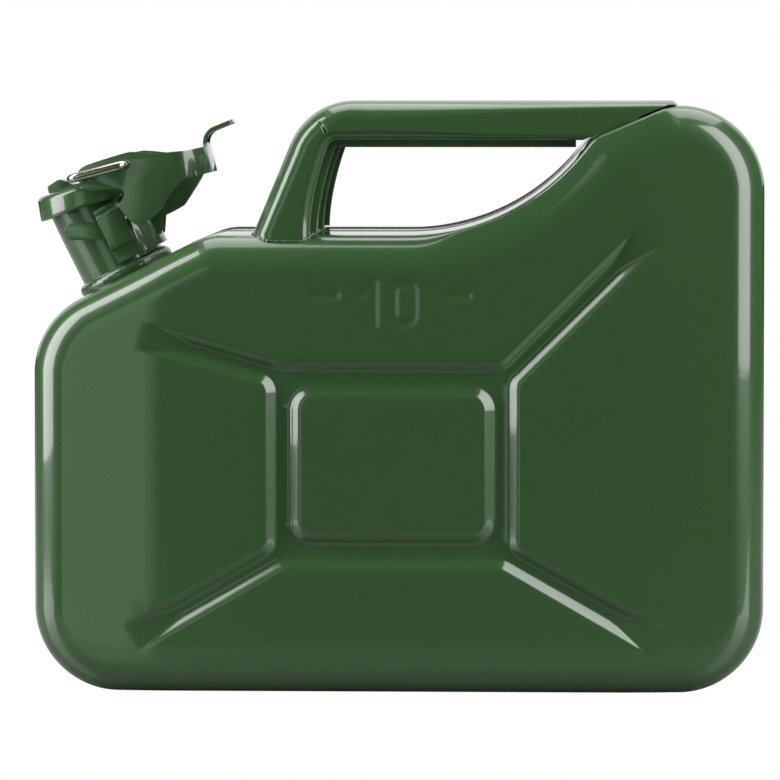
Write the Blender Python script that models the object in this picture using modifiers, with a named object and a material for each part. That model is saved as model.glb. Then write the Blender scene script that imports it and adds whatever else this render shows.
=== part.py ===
"""Steel jerry can with a tilted filler neck, a hinged lid, a clamping lever and a wire bail.

Metres, +Z up. X runs along the can from the filler neck (-X) to the air chamber (+X), Y runs
through its depth, and the origin is under the middle of the whole part, on the ground.
"""

import math

import bmesh
import bpy
from mathutils import Matrix, Vector

# Body
can_length = 0.345
crest_height = 0.277
can_depth = 0.165
sheet = 0.0009
fit_gap = 0.0003
overrun = 0.002

saddle_height = 0.061
foot_corner_radius = 0.040
crest_corner_radius = 0.040
shoulder_corner_radius = 0.040
shoulder_bend_radius = 0.030
saddle_top_radius = 0.020
saddle_edge_radius = 0.015
hump_hollow_radius = 0.106
shoulder_angle = math.radians(26.5)
shoulder_from_left = 0.0827
saddle_top_from_right = 0.0445
saddle_length = 0.036
saddle_drop = 0.015
hump_foot_length = 0.0377

face_edge_radius = 0.0115
face_crease_left = 0.060
face_crease_right = 0.063
face_side_angle = math.radians(5)

seam_depth = 0.003
seam_half_width = 0.008
seam_floor_half_width = 0.005
weld_radius = 0.0012
body_step_angle = math.radians(11.5)
fillet_steps = 5
neck_sides = 48

# Pressed panels of the two broad faces
pressing_depth = 0.0038
pressing_wall = 0.0048
groove_floor = 0.0062
panel_half_length = 0.0434
panel_half_height = 0.0325
panel_radius = 0.005
panel_from_left = 0.170
panel_height_share = 0.3917
arm_root_along = 0.0085
arm_root_up = 0.0104
arm_root_radius = 0.003
arm_tip_width = 0.010
arm_tip_radius = 0.0045
arm_fade_length = 0.009
arm_floor_tip_width = 0.0012
arm_floor_tip_radius = 0.0003
arm_tip_shares = {
    "upper_left": (-0.332, 0.216),
    "lower_left": (-0.345, -0.289),
    "lower_right": (0.353, -0.293),
    "upper_right": (0.343, 0.384),
}

# Handles
handle_width = 0.028
handle_spacing = 0.061
handle_rise = 0.0024
handle_bar_height = 0.0187
handle_wall = 0.0012
handle_end_gap = 0.0008
handle_top_radius = 0.0065
handle_belly_radius = 0.0055
handle_foot_from_left = 0.104
handle_foot_length = 0.0271
handle_outer_lean = 0.0259
handle_inner_lean = 0.0094
handle_corner_radius = 0.033
handle_inner_radius = 0.0048
handle_bend_share = 0.88
handle_square_share = 0.4
handle_bow_power = 1.75
handle_post_steps = 4
handle_corner_steps = 7
lip_height = 0.0034
lip_thickness = 0.0026
lip_end_back = 0.0030

# Filler neck
neck_foot_from_left = 0.0387
neck_radius = 0.021
neck_bore_radius = 0.0198
neck_length = 0.039
neck_tail = 0.006
mouth_angle = math.radians(14)
rim_radius = 0.0238
rim_thickness = 0.003
rim_rise = 0.005
collar_radius = 0.0245
collar_height = 0.006
collar_top_width = 0.0008
saddle_plate = 0.0035
saddle_low = 0.007
saddle_below_hinge = 0.001
saddle_start = 0.014
ear_offset = 0.008
ear_thickness = 0.002
ear_radius = 0.0042
ear_root_low = 0.011
hinge_out = 0.027
hinge_below_mouth = 0.013
pin_radius = 0.0018
pin_head_radius = 0.003
pin_head_length = 0.0012
strap_low = 0.0068
strap_left = 0.0008
strap_width = 0.0130
strap_thickness = 0.0015
strap_bulge = 0.0032
strap_bulge_below_mouth = 0.0066
strap_bulge_length = 0.0188
strap_joggle = 0.0018
lug_length = 0.0220
lug_height = 0.0082
lug_thickness = 0.0025
lug_end_left = -0.0158
lug_below_mouth = 0.0065
tube_radius = 0.004
tube_bore_radius = 0.003
tube_below_mouth = 0.006
tube_bend = 0.004
tube_reach = 0.062
tube_clearance = 0.010

# Lid
lid_radius = 0.0262
lid_wall = 0.0012
lid_height = 0.0095
lid_edge_radius = 0.0012
gasket_inner_radius = 0.0175
gasket_thickness = 0.0027
bridge_thickness = 0.0015
bridge_half_width = 0.0144
bridge_left = -0.0178
bridge_rear_gap = 0.0012
bridge_arm_thickness = 0.002
bridge_arm_width = 0.0048
catch_height = 0.0042
catch_tip = 0.0062
catch_length = 0.0100
lever_pin_along = 0.006
lever_pin_up = 0.0133
lever_ear_radius = 0.0038

# Lever
lever_sheet = 0.0016
lever_half_width = 0.0303
lever_bend_radius = 0.0180
lever_web_along = 0.0613
lever_web_low = 0.0011
lever_web_high = 0.0137
tab_half_width = 0.011
tab_rise = 0.0004
tab_bend_radius = 0.0072
tab_bend_angle = math.radians(82)
tab_flat = 0.0095
cheek_foot = -0.0159
cheek_height = 0.0369
cheek_length_shares = (
    0.721, 0.625, 0.533, 0.447, 0.378, 0.246, 0.117, 0.041, 0.008, -0.010, -0.008,
    0.002, 0.029, 0.085, 0.232, 0.292, 0.320, 0.312, 0.276, 0.241, 0.292, 0.346,
    0.388, 0.506, 0.566, 0.631, 0.698, 0.750,
)
cheek_height_shares = (
    0.840, 0.864, 0.919, 0.965, 1.000, 0.984, 0.962, 0.943, 0.908, 0.837, 0.751,
    0.686, 0.629, 0.583, 0.558, 0.545, 0.488, 0.434, 0.366, 0.336, 0.149, 0.016,
    0.000, 0.079, 0.144, 0.260, 0.366, 0.407,
)
web_root_share = 0.822
web_top_share = 0.860

# Bail
wire_radius = 0.0021
bail_pivot_along = 0.0232
bail_pivot_up = 0.0146
bail_cross_along = -0.0038
bail_cross_up = 0.0142
bail_bend_radius = 0.0045
bail_side_gap = 0.0006

# Worked out from the sizes above
half_depth = can_depth / 2
low_top_height = crest_height - saddle_height
panel_height = crest_height * panel_height_share
neck_lean = shoulder_angle
mouth_lean = neck_lean - mouth_angle
shoulder_x = -can_length / 2 + shoulder_from_left
neck_foot_x = -can_length / 2 + neck_foot_from_left
neck_foot_z = low_top_height - (shoulder_x - neck_foot_x) * math.tan(shoulder_angle)
mouth_x = neck_foot_x - neck_length * math.sin(neck_lean)
mouth_z = neck_foot_z + neck_length * math.cos(neck_lean)
hinge_up = neck_length - hinge_below_mouth
saddle_high = hinge_up - saddle_below_hinge
strap_bulge_high = neck_length - strap_bulge_below_mouth
strap_bulge_low = strap_bulge_high - strap_bulge_length
lug_end_up = neck_length - lug_below_mouth
tube_top = neck_length - tube_below_mouth
lid_edge_height = lid_height - lid_edge_radius
lid_reach = lid_radius * math.cos(mouth_angle) + lid_edge_height * math.sin(mouth_angle)
handle_top = crest_height + handle_rise
spout_overhang = lid_reach - mouth_x - can_length / 2
can_shift = spout_overhang / 2

colours = {
    "paint": (0.034, 0.082, 0.030),
    "weld": (0.034, 0.075, 0.030),
    "zinc": (0.56, 0.53, 0.44),
    "rubber": (0.012, 0.012, 0.012),
}


def clear_scene():
    for item in list(bpy.data.objects):
        bpy.data.objects.remove(item, do_unlink=True)


def make_collection(name):
    collection = bpy.data.collections.new(name)
    bpy.context.scene.collection.children.link(collection)
    return collection


def finish_material(name, colour, roughness, metallic):
    material = bpy.data.materials.new(name)
    material.use_nodes = True
    shader = material.node_tree.nodes["Principled BSDF"]
    shader.inputs["Base Color"].default_value = (*colours[colour], 1)
    shader.inputs["Roughness"].default_value = roughness
    shader.inputs["Metallic"].default_value = metallic
    return material


def painted(name):
    return finish_material(name + "_paint", "paint", 0.22, 0.0)


def welded(name):
    return finish_material(name + "_weld_paint", "weld", 0.40, 0.0)


def zinc_plated(name):
    return finish_material(name + "_zinc", "zinc", 0.30, 1.0)


def rubber(name):
    return finish_material(name + "_rubber", "rubber", 0.75, 0.0)


def make_empty(name, matrix, parent=None):
    empty = bpy.data.objects.new(name, None)
    guides.objects.link(empty)
    empty.parent = parent
    empty.matrix_world = matrix
    bpy.context.view_layer.update()
    return empty


def mesh_object(name, mesh, material, parent, place=None, collection=None):
    item = bpy.data.objects.new(name, mesh)
    (collection or parts).objects.link(item)
    if material:
        mesh.materials.append(material)
    bpy.context.view_layer.update()
    item.parent = parent
    item.matrix_world = place if place is not None else Matrix.Identity(4)
    bpy.context.view_layer.update()
    return item


def cutter_object(name, mesh, place):
    item = mesh_object(name, mesh, None, None, place, cutters)
    item.hide_render = True
    item.display_type = "WIRE"
    return item


def mesh_from(bm, name):
    bmesh.ops.recalc_face_normals(bm, faces=bm.faces)
    mesh = bpy.data.meshes.new(name)
    bm.to_mesh(mesh)
    bm.free()
    return mesh


def apply_modifiers(item):
    evaluated = item.evaluated_get(bpy.context.evaluated_depsgraph_get())
    mesh = bpy.data.meshes.new_from_object(evaluated)
    item.modifiers.clear()
    item.data = mesh
    bpy.context.view_layer.update()


def combine(item, other, operation):
    modifier = item.modifiers.new(operation.lower(), "BOOLEAN")
    modifier.operation = operation
    modifier.object = other
    modifier.solver = "EXACT"
    bpy.context.view_layer.update()


def smooth(item, angle=math.radians(35)):
    item.data.shade_smooth()
    item.data.set_sharp_from_angle(angle=angle)


def cylinder_mesh(name, radius, low, high, sides):
    bm = bmesh.new()
    lift = Matrix.Translation((0, 0, (low + high) / 2))
    bmesh.ops.create_cone(bm, cap_ends=True, segments=sides, radius1=radius, radius2=radius,
                          depth=high - low, matrix=lift)
    return mesh_from(bm, name)


def box_mesh(name, low, high):
    bm = bmesh.new()
    bmesh.ops.create_cube(bm, size=1)
    low, high = Vector(low), Vector(high)
    middle = (low + high) / 2
    for vertex in bm.verts:
        vertex.co = middle + Vector(a * b for a, b in zip(vertex.co, high - low))
    return mesh_from(bm, name)


def turned_object(name, profile, material, parent, place, sides=40, closed=True):
    """A turned piece: the profile is (radius, height) and runs down its outer side."""
    mesh = bpy.data.meshes.new(name)
    last = len(profile)
    edges = [(i, (i + 1) % last) for i in range(last if closed else last - 1)]
    mesh.from_pydata([(radius, 0, height) for radius, height in profile], edges, [])
    item = mesh_object(name, mesh, material, parent, place)
    screw = item.modifiers.new("turn", "SCREW")
    screw.steps = sides
    screw.render_steps = sides
    screw.use_merge_vertices = True
    screw.merge_threshold = fit_gap / 10
    apply_modifiers(item)
    smooth(item)
    return item


def loft_mesh(name, rings, first_cap=True, last_cap=True):
    """A skin through rings with the same number of points, closed by flat ends."""
    bm = bmesh.new()
    rows = [[bm.verts.new(point) for point in ring] for ring in rings]
    count = len(rows[0])
    for row, following in zip(rows, rows[1:]):
        for i in range(count):
            j = (i + 1) % count
            bm.faces.new((row[i], row[j], following[j], following[i]))
    if first_cap:
        bm.faces.new(list(reversed(rows[0])))
    if last_cap:
        bm.faces.new(rows[-1])
    return mesh_from(bm, name)


def plate_object(name, outline, thickness, material, parent, place):
    """A flat plate from an outline in its own XY plane, centred on that plane."""
    curve = bpy.data.curves.new(name, "CURVE")
    curve.dimensions = "2D"
    curve.fill_mode = "BOTH"
    curve.extrude = thickness / 2
    spline = curve.splines.new("POLY")
    spline.points.add(len(outline) - 1)
    for point, (x, y) in zip(spline.points, outline):
        point.co = (x, y, 0, 1)
    spline.use_cyclic_u = True
    return curve_to_object(name, curve, material, parent, place)


def curve_to_object(name, curve, material, parent, place):
    guide = bpy.data.objects.new(name + "_curve", curve)
    cutters.objects.link(guide)
    bpy.context.view_layer.update()
    evaluated = guide.evaluated_get(bpy.context.evaluated_depsgraph_get())
    mesh = bpy.data.meshes.new_from_object(evaluated)
    bm = bmesh.new()
    bm.from_mesh(mesh)
    bmesh.ops.remove_doubles(bm, verts=bm.verts, dist=fit_gap / 30)
    bmesh.ops.recalc_face_normals(bm, faces=bm.faces)
    bm.to_mesh(mesh)
    bm.free()
    mesh.name = name
    bpy.data.objects.remove(guide)
    return mesh_object(name, mesh, material, parent, place)


def wire_object(name, points, radius, material, parent, cyclic=False, place=None, rings=2):
    curve = bpy.data.curves.new(name, "CURVE")
    curve.dimensions = "3D"
    curve.bevel_depth = radius
    curve.bevel_resolution = rings
    curve.use_fill_caps = True
    spline = curve.splines.new("POLY")
    spline.points.add(len(points) - 1)
    for knot, point in zip(spline.points, points):
        knot.co = (*point, 1)
    spline.use_cyclic_u = cyclic
    item = curve_to_object(name, curve, material, parent, place)
    smooth(item, math.radians(50))
    return item


def rounded_path(corners, radius, steps=5):
    """A path with its inner corners rounded to one radius."""
    path = [Vector(corners[0])]
    for before, corner, after in zip(corners, corners[1:], corners[2:]):
        corner = Vector(corner)
        to_before = (Vector(before) - corner).normalized()
        to_after = (Vector(after) - corner).normalized()
        half_turn = (math.pi - to_before.angle(to_after)) / 2
        reach = radius * math.tan(half_turn)
        centre = corner + (to_before + to_after).normalized() * radius / math.cos(half_turn)
        first = (corner + to_before * reach - centre).normalized()
        last = (corner + to_after * reach - centre).normalized()
        for i in range(steps + 1):
            path.append(centre + first.slerp(last, i / steps) * radius)
    path.append(Vector(corners[-1]))
    return path


def inset_corners(corners, inset):
    """Corners (x, z, radius) of an anticlockwise outline, moved inward by inset."""
    moved = []
    count = len(corners)
    for i, (x, z, radius) in enumerate(corners):
        corner = Vector((x, z))
        into = (corner - Vector(corners[i - 1][:2])).normalized()
        out = (Vector(corners[(i + 1) % count][:2]) - corner).normalized()
        side_in, side_out = Vector((-into.y, into.x)), Vector((-out.y, out.x))
        corner += (side_in + side_out) * inset / (1 + side_in.dot(side_out))
        turn = into.cross(out)
        radius = max(radius - inset, fit_gap) if turn > 0 else max(radius + inset, fit_gap)
        moved.append((corner.x, corner.y, radius))
    return moved


def outline_points(corners, step_angle):
    """Points round an anticlockwise outline whose corners are rounded."""
    points = []
    count = len(corners)
    for i, (x, z, radius) in enumerate(corners):
        corner = Vector((x, z))
        into = (corner - Vector(corners[i - 1][:2])).normalized()
        out = (Vector(corners[(i + 1) % count][:2]) - corner).normalized()
        turn = math.atan2(into.cross(out), into.dot(out))
        side = Vector((-into.y, into.x)) * math.copysign(radius, turn)
        start = corner - into * radius * math.tan(abs(turn) / 2)
        steps = max(2, math.ceil(abs(turn) / step_angle))
        for k in range(steps + 1):
            spoke = Matrix.Rotation(turn * k / steps, 2) @ -side
            points.append(start + side + spoke)
    return points


def with_breaks(points, breaks):
    """The same outline with a point wherever it crosses one of the given x values."""
    result = []
    for i, point in enumerate(points):
        result.append(point)
        following = points[(i + 1) % len(points)]
        crossed = [x for x in breaks if min(point.x, following.x) < x < max(point.x, following.x)]
        for x in sorted(crossed, reverse=following.x < point.x):
            result.append(point.lerp(following, (x - point.x) / (following.x - point.x)))
    return result


def body_corners():
    """Side view of the can body, anticlockwise from the lower corner under the neck."""
    left, right = -can_length / 2, can_length / 2
    saddle_top_x = right - saddle_top_from_right
    saddle_edge_x = saddle_top_x - saddle_length
    shoulder_end_z = low_top_height - shoulder_from_left * math.tan(shoulder_angle)
    return [
        (left, 0, foot_corner_radius),
        (right, 0, foot_corner_radius),
        (right, crest_height, crest_corner_radius),
        (saddle_top_x, crest_height, saddle_top_radius),
        (saddle_edge_x, crest_height - saddle_drop, saddle_edge_radius),
        (saddle_edge_x - hump_foot_length, low_top_height, hump_hollow_radius),
        (shoulder_x, low_top_height, shoulder_bend_radius),
        (left, shoulder_end_z, shoulder_corner_radius),
    ]


def crease_places():
    return (-can_length / 2 + face_crease_left, can_length / 2 - face_crease_right)


def face_depth(x):
    """Distance of the broad face from the middle plane; its sides fall back gently."""
    low, high = crease_places()
    beyond = max(low - x, x - high, 0)
    return half_depth - beyond * math.tan(face_side_angle)


def body_ring(inset, depth_at):
    ring = outline_points(inset_corners(body_corners(), inset), body_step_angle)
    return [(point.x, -depth_at(point.x), point.y) for point in with_breaks(ring, crease_places())]


def body_rings():
    rings = [
        body_ring(seam_depth, lambda x: fit_gap / 2),
        body_ring(seam_depth, lambda x: seam_floor_half_width),
        body_ring(0, lambda x: seam_half_width),
    ]
    for k in range(fillet_steps + 1):
        angle = math.pi / 2 * k / fillet_steps
        inset = face_edge_radius * (1 - math.cos(angle))
        back = face_edge_radius * (1 - math.sin(angle))
        rings.append(body_ring(inset, lambda x, back=back: face_depth(x) - back))
    return rings


def body_solid(name):
    """One half of the can as a solid: walls, rounded edge and a face in three flat parts."""
    rings = body_rings()
    bm = bmesh.new()
    rows = [[bm.verts.new(point) for point in ring] for ring in rings]
    count = len(rows[0])
    for row, following in zip(rows, rows[1:]):
        for i in range(count):
            j = (i + 1) % count
            bm.faces.new((row[i], row[j], following[j], following[i]))
    bm.faces.new(list(reversed(rows[0])))
    low, high = crease_places()
    nearly = fit_gap / 100
    for first, last in ((-can_length, low), (low, high), (high, can_length)):
        loop = [vertex for vertex in rows[-1] if first - nearly <= vertex.co.x <= last + nearly]
        bm.faces.new(loop)
    return mesh_from(bm, name)


def panel_centre():
    return Vector((-can_length / 2 + panel_from_left, panel_height))


def groove_corners(inset):
    """Outline of the pressed grooves: a ring round the middle panel and four pointed arms."""
    centre = panel_centre()
    ring_x = panel_half_length + 2 * pressing_wall + groove_floor
    ring_z = panel_half_height + 2 * pressing_wall + groove_floor
    corners, tips = [], {}
    quadrants = (("upper_left", -1, 1), ("lower_left", -1, -1), ("lower_right", 1, -1), ("upper_right", 1, 1))
    for name, right, up in quadrants:
        above = centre + Vector((right * (ring_x - arm_root_along), up * ring_z))
        beside = centre + Vector((right * ring_x, up * (ring_z - arm_root_up)))
        along_share, up_share = arm_tip_shares[name]
        tip = centre + Vector((along_share * can_length, up_share * crest_height))
        along = (tip - (above + beside) / 2).normalized()
        across = Vector((-along.y, along.x)) * arm_tip_width / 2
        first, last = (above, beside) if right * up < 0 else (beside, above)
        corners.append((*first, arm_root_radius))
        tips[len(corners)] = (tip, along)
        corners.append((*(tip - across), arm_tip_radius))
        tips[len(corners)] = (tip, along)
        corners.append((*(tip + across), arm_tip_radius))
        corners.append((*last, arm_root_radius))
    if not inset:
        return corners
    moved = inset_corners(corners, inset)
    for i, (tip, along) in tips.items():
        side = -1 if i % 4 == 1 else 1
        floor_tip = tip - along * arm_fade_length
        floor_tip += side * Vector((-along.y, along.x)) * arm_floor_tip_width / 2
        moved[i] = (*floor_tip, arm_floor_tip_radius)
    return moved


def rectangle_corners(centre, half_length, half_height, radius):
    return [
        (centre.x - half_length, centre.y - half_height, radius),
        (centre.x + half_length, centre.y - half_height, radius),
        (centre.x + half_length, centre.y + half_height, radius),
        (centre.x - half_length, centre.y + half_height, radius),
    ]


def flat_ring(corners, depth, step_angle):
    return [(point.x, -depth, point.y) for point in outline_points(corners, step_angle)]


def groove_mesh():
    step = math.radians(45)
    top, floor = groove_corners(0), groove_corners(pressing_wall)
    rings = [
        flat_ring(top, half_depth + overrun, step),
        flat_ring(top, half_depth, step),
        flat_ring(floor, half_depth - pressing_depth, step),
    ]
    return loft_mesh("groove_cutter", rings)


def panel_mesh():
    step = math.radians(30)
    top = rectangle_corners(panel_centre(), panel_half_length, panel_half_height, panel_radius)
    foot = inset_corners(top, -pressing_wall)
    rings = [
        flat_ring(top, half_depth, step),
        flat_ring(foot, half_depth - pressing_depth, step),
        flat_ring(foot, half_depth - pressing_depth - overrun, step),
    ]
    return loft_mesh("panel_block", rings)


def neck_matrix():
    """Frame of the neck: its own Z runs up the neck, its X towards the handles."""
    turn = Matrix.Rotation(-neck_lean, 4, "Y")
    return Matrix.Translation((neck_foot_x + can_shift, 0, neck_foot_z)) @ turn


def mouth_matrix():
    """Frame of the mouth and lid: its own Z is the lid's axis."""
    turn = Matrix.Rotation(-mouth_angle, 4, "Y")
    return Matrix.Translation((mouth_x + can_shift, 0, mouth_z)) @ turn


def can_matrix():
    return Matrix.Translation((can_shift, 0, 0))


def open_middle(item):
    """Takes away the flat that closes the half at the middle plane."""
    bm = bmesh.new()
    bm.from_mesh(item.data)
    gone = [face for face in bm.faces if face.calc_center_median().y > -fit_gap * 0.6]
    bmesh.ops.delete(bm, geom=gone, context="FACES")
    bm.to_mesh(item.data)
    bm.free()


def body_half(name, root, cuts):
    item = mesh_object(name, body_solid(name), painted(name), root, can_matrix())
    combine(item, cuts["groove"], "DIFFERENCE")
    combine(item, cuts["panel"], "UNION")
    apply_modifiers(item)
    open_middle(item)
    if name.endswith("rear"):
        item.data.transform(Matrix.Scale(-1, 4, (0, 1, 0)))
        item.data.flip_normals()
    shell = item.modifiers.new("sheet", "SOLIDIFY")
    shell.thickness = sheet
    shell.offset = -1
    shell.use_even_offset = True
    combine(item, cuts["neck_hole"], "DIFFERENCE")
    apply_modifiers(item)
    smooth(item, math.radians(28))
    return item


def build_body(root):
    cuts = {
        "groove": cutter_object("groove_cutter", groove_mesh(), can_matrix()),
        "panel": cutter_object("panel_block", panel_mesh(), can_matrix()),
    }
    hole = cylinder_mesh("neck_hole", neck_radius + fit_gap, -neck_length / 2, neck_length / 2, neck_sides)
    cuts["neck_hole"] = cutter_object("neck_hole", hole, neck_matrix())
    body_half("body_half_front", root, cuts)
    body_half("body_half_rear", root, cuts)
    seam_inset = seam_depth - weld_radius - fit_gap
    seam = outline_points(inset_corners(body_corners(), seam_inset), body_step_angle)
    points = [(point.x, 0, point.y) for point in seam]
    weld = wire_object("seam_weld", points, weld_radius, welded("seam"), root, True, can_matrix(), 1)
    combine(weld, cuts["neck_hole"], "DIFFERENCE")


def saddle_line(z):
    """X of the sloped saddle, the handle's end gap above it, at height z."""
    corners = body_corners()
    top_x, top_z, _ = corners[3]
    edge_x, edge_z, _ = corners[4]
    slope = (top_z - edge_z) / (top_x - edge_x)
    lift = handle_end_gap / math.cos(math.atan(slope))
    return edge_x + (z - lift - edge_z) / slope


def on_post(foot, corner, share):
    """A point on the bowed inner side of a post, at a share of its height."""
    lean = (corner.x - foot.x) * share ** handle_bow_power
    return Vector((foot.x + lean, 0, foot.z + (corner.z - foot.z) * share))


def handle_stations():
    """Pairs of outer and inner points along a handle, from its foot to its end on the saddle."""
    base = low_top_height + handle_end_gap
    bar_low = handle_top - handle_bar_height
    outer_foot = Vector((-can_length / 2 + handle_foot_from_left, 0, base))
    inner_foot = outer_foot + Vector((handle_foot_length, 0, 0))
    outer_end = Vector((saddle_line(handle_top), 0, handle_top))
    inner_end = Vector((saddle_line(bar_low), 0, bar_low))
    outer_corner = Vector((outer_foot.x + handle_outer_lean, 0, handle_top))
    inner_corner = Vector((inner_foot.x + handle_inner_lean, 0, bar_low))
    bend = on_post(inner_foot, inner_corner, handle_bend_share)
    outer = rounded_path([outer_foot, outer_corner, outer_end], handle_corner_radius, handle_corner_steps)
    inner = rounded_path([bend, inner_corner, inner_end], handle_inner_radius, handle_corner_steps)
    pairs = []
    for k in range(handle_post_steps):
        share = k / handle_post_steps
        inner_point = on_post(inner_foot, inner_corner, share * handle_bend_share)
        pairs.append((outer_foot.lerp(outer[1], share), inner_point))
    pairs += zip(outer[1:-1], inner[1:-1])
    square_x = outer[-2].x + handle_bar_height * handle_square_share
    pairs.append((Vector((square_x, 0, handle_top)), Vector((square_x, 0, bar_low))))
    pairs.append((outer_end, inner_end))
    return pairs


def lip_rings():
    """Sections of the folded seam lip along the inner side of a handle."""
    path = [inner for outer, inner in handle_stations()]
    path[-1] = path[-1] - Vector((lip_end_back, 0, 0))
    half = lip_thickness / 2
    rings = []
    for i, point in enumerate(path):
        run = path[min(i + 1, len(path) - 1)] - path[max(i - 1, 0)]
        into = Vector((run.z, 0, -run.x)).normalized()
        root, edge = point - into * handle_wall / 2, point + into * lip_height
        if i == 0:
            root.z, edge.z = point.z, point.z
        corners = ((root, -half), (root, half), (edge, half), (edge, -half))
        rings.append([(end.x, y, end.z) for end, y in corners])
    return rings


def handle_section(outer, inner):
    """Rounded closed section between an outer and an inner point, round the handle's run."""
    height = (outer - inner).length
    up = (outer - inner).normalized()
    half = handle_width / 2
    corners = [
        (-half, 0, handle_belly_radius),
        (half, 0, handle_belly_radius),
        (half, height, handle_top_radius),
        (-half, height, handle_top_radius),
    ]
    points = outline_points(corners, math.radians(30))
    return [tuple(inner + up * point.y + Vector((0, point.x, 0))) for point in points]


def build_handles(root):
    lip = cutter_object("seam_lip", loft_mesh("seam_lip", lip_rings()), can_matrix())
    places = (("front", -handle_spacing), ("middle", 0), ("rear", handle_spacing))
    for side, y in places:
        name = "handle_" + side
        rings = [handle_section(outer, inner) for outer, inner in handle_stations()]
        mesh = loft_mesh(name, rings, False, False)
        place = can_matrix() @ Matrix.Translation((0, y, 0))
        item = mesh_object(name, mesh, painted(name), root, place)
        wall = item.modifiers.new("sheet", "SOLIDIFY")
        wall.thickness = handle_wall
        wall.offset = -1
        wall.use_even_offset = True
        lip.matrix_world = place
        combine(item, lip, "UNION")
        apply_modifiers(item)
        smooth(item)


def tilt_top(mesh, low_limit, plane_height):
    """Slides the top of a neck cylinder along its axis onto a plane of the mouth."""
    to_mouth = mouth_matrix().inverted() @ neck_matrix()
    for vertex in mesh.vertices:
        if vertex.co.z > low_limit:
            height = (to_mouth @ vertex.co).z - plane_height
            vertex.co.z -= height / math.cos(mouth_lean)


def build_neck(root):
    tube = cylinder_mesh("neck_tube", neck_radius, -neck_tail, neck_length, neck_sides)
    tilt_top(tube, 0, rim_rise - rim_thickness / 2)
    item = mesh_object("neck_tube", tube, painted("neck_tube"), root, neck_matrix())
    rim = cylinder_mesh("rim_block", rim_radius, rim_rise - rim_thickness, rim_rise, neck_sides)
    combine(item, cutter_object("rim_block", rim, mouth_matrix()), "UNION")
    bore = cylinder_mesh("neck_bore", neck_bore_radius, -neck_tail - overrun,
                         neck_length + 2 * rim_radius, neck_sides)
    combine(item, cutter_object("neck_bore", bore, neck_matrix()), "DIFFERENCE")
    apply_modifiers(item)
    smooth(item)
    inner = neck_radius + fit_gap
    profile = [(inner + collar_top_width, collar_height), (collar_radius, fit_gap), (inner, fit_gap),
               (inner, collar_height)]
    turned_object("neck_collar", profile, welded("collar"), root, neck_matrix(), neck_sides)


def pin_place(frame, along, up):
    """Frame of a pin that lies across the can: its own Z runs along Y."""
    return frame @ Matrix.Translation((along, 0, up)) @ Matrix.Rotation(math.radians(-90), 4, "X")


def plate_place(frame, y):
    """Frame of an upright plate: its own X runs along the frame, its Y runs up."""
    return frame @ Matrix.Translation((0, y, 0)) @ Matrix.Rotation(math.radians(90), 4, "X")


def pin_hole(name, frame, along, up, radius, reach):
    mesh = cylinder_mesh(name, radius + fit_gap, -reach, reach, 24)
    return cutter_object(name, mesh, pin_place(frame, along, up))


def headed_pin(name, half_length, frame, along, up, material, parent):
    """A pin with a flat head at each end; half_length is to the inner side of a head."""
    end = half_length + pin_head_length
    profile = [
        (0, end), (pin_head_radius, end), (pin_head_radius, half_length), (pin_radius, half_length),
        (pin_radius, -half_length), (pin_head_radius, -half_length), (pin_head_radius, -end), (0, -end),
    ]
    return turned_object(name, profile, material, parent, pin_place(frame, along, up), 24, False)


def build_hinge_bracket(root):
    """Half ring round the back of the neck with two ears that carry the lid's hinge pin."""
    inner = neck_radius + fit_gap
    profile = [(inner + saddle_plate, saddle_high), (inner + saddle_plate, saddle_low),
               (inner, saddle_low), (inner, saddle_high)]
    item = turned_object("hinge_bracket", profile, painted("hinge_bracket"), root, neck_matrix(), neck_sides)
    reach = 2 * neck_radius
    block = box_mesh("bracket_cut", (-reach, -reach, -reach), (saddle_start, reach, reach))
    combine(item, cutter_object("bracket_cut", block, neck_matrix()), "DIFFERENCE")
    root_in = math.sqrt((inner + saddle_plate / 2) ** 2 - (ear_offset + ear_thickness) ** 2)
    corners = [
        (root_in, ear_root_low, fit_gap),
        (inner + saddle_plate, ear_root_low, fit_gap),
        (hinge_out + ear_radius, hinge_up - ear_radius, ear_radius - fit_gap),
        (hinge_out + ear_radius, hinge_up + ear_radius, ear_radius - fit_gap),
        (hinge_out - ear_radius, hinge_up + ear_radius, ear_radius - fit_gap),
        (hinge_out - ear_radius, saddle_high - overrun, fit_gap),
        (root_in, saddle_high - overrun, fit_gap),
    ]
    outline = [tuple(point) for point in outline_points(corners, math.radians(30))]
    for side in (-1, 1):
        y = side * (ear_offset + ear_thickness / 2)
        ear = plate_object("bracket_ear", outline, ear_thickness, None, None, plate_place(neck_matrix(), y))
        move_to_cutters(ear)
        combine(item, ear, "UNION")
    hole = pin_hole("hinge_hole", neck_matrix(), hinge_out, hinge_up, pin_radius, reach)
    combine(item, hole, "DIFFERENCE")
    apply_modifiers(item)
    smooth(item)
    half = bridge_half_width + fit_gap
    headed_pin("hinge_pin", half, neck_matrix(), hinge_out, hinge_up, zinc_plated("hinge_pin"), root)


def move_to_cutters(item):
    for collection in list(item.users_collection):
        collection.objects.unlink(item)
    cutters.objects.link(item)
    item.hide_render = True
    item.display_type = "WIRE"
    bpy.context.view_layer.update()


def strap_profile():
    """Run of a side strap up the neck as (height, distance out), with its joggle."""
    high = neck_length + mouth_drop_at(strap_left + strap_width) - 2 * fit_gap
    return [
        (strap_low, 0), (strap_bulge_low, 0), (strap_bulge_low + strap_joggle, strap_bulge),
        (strap_bulge_high - strap_joggle, strap_bulge), (strap_bulge_high, 0), (high, 0),
    ]


def mouth_drop_at(along):
    """How far the mouth plane lies above the axis point of the mouth, at a place across the neck."""
    return -along * math.tan(mouth_lean)


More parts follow.
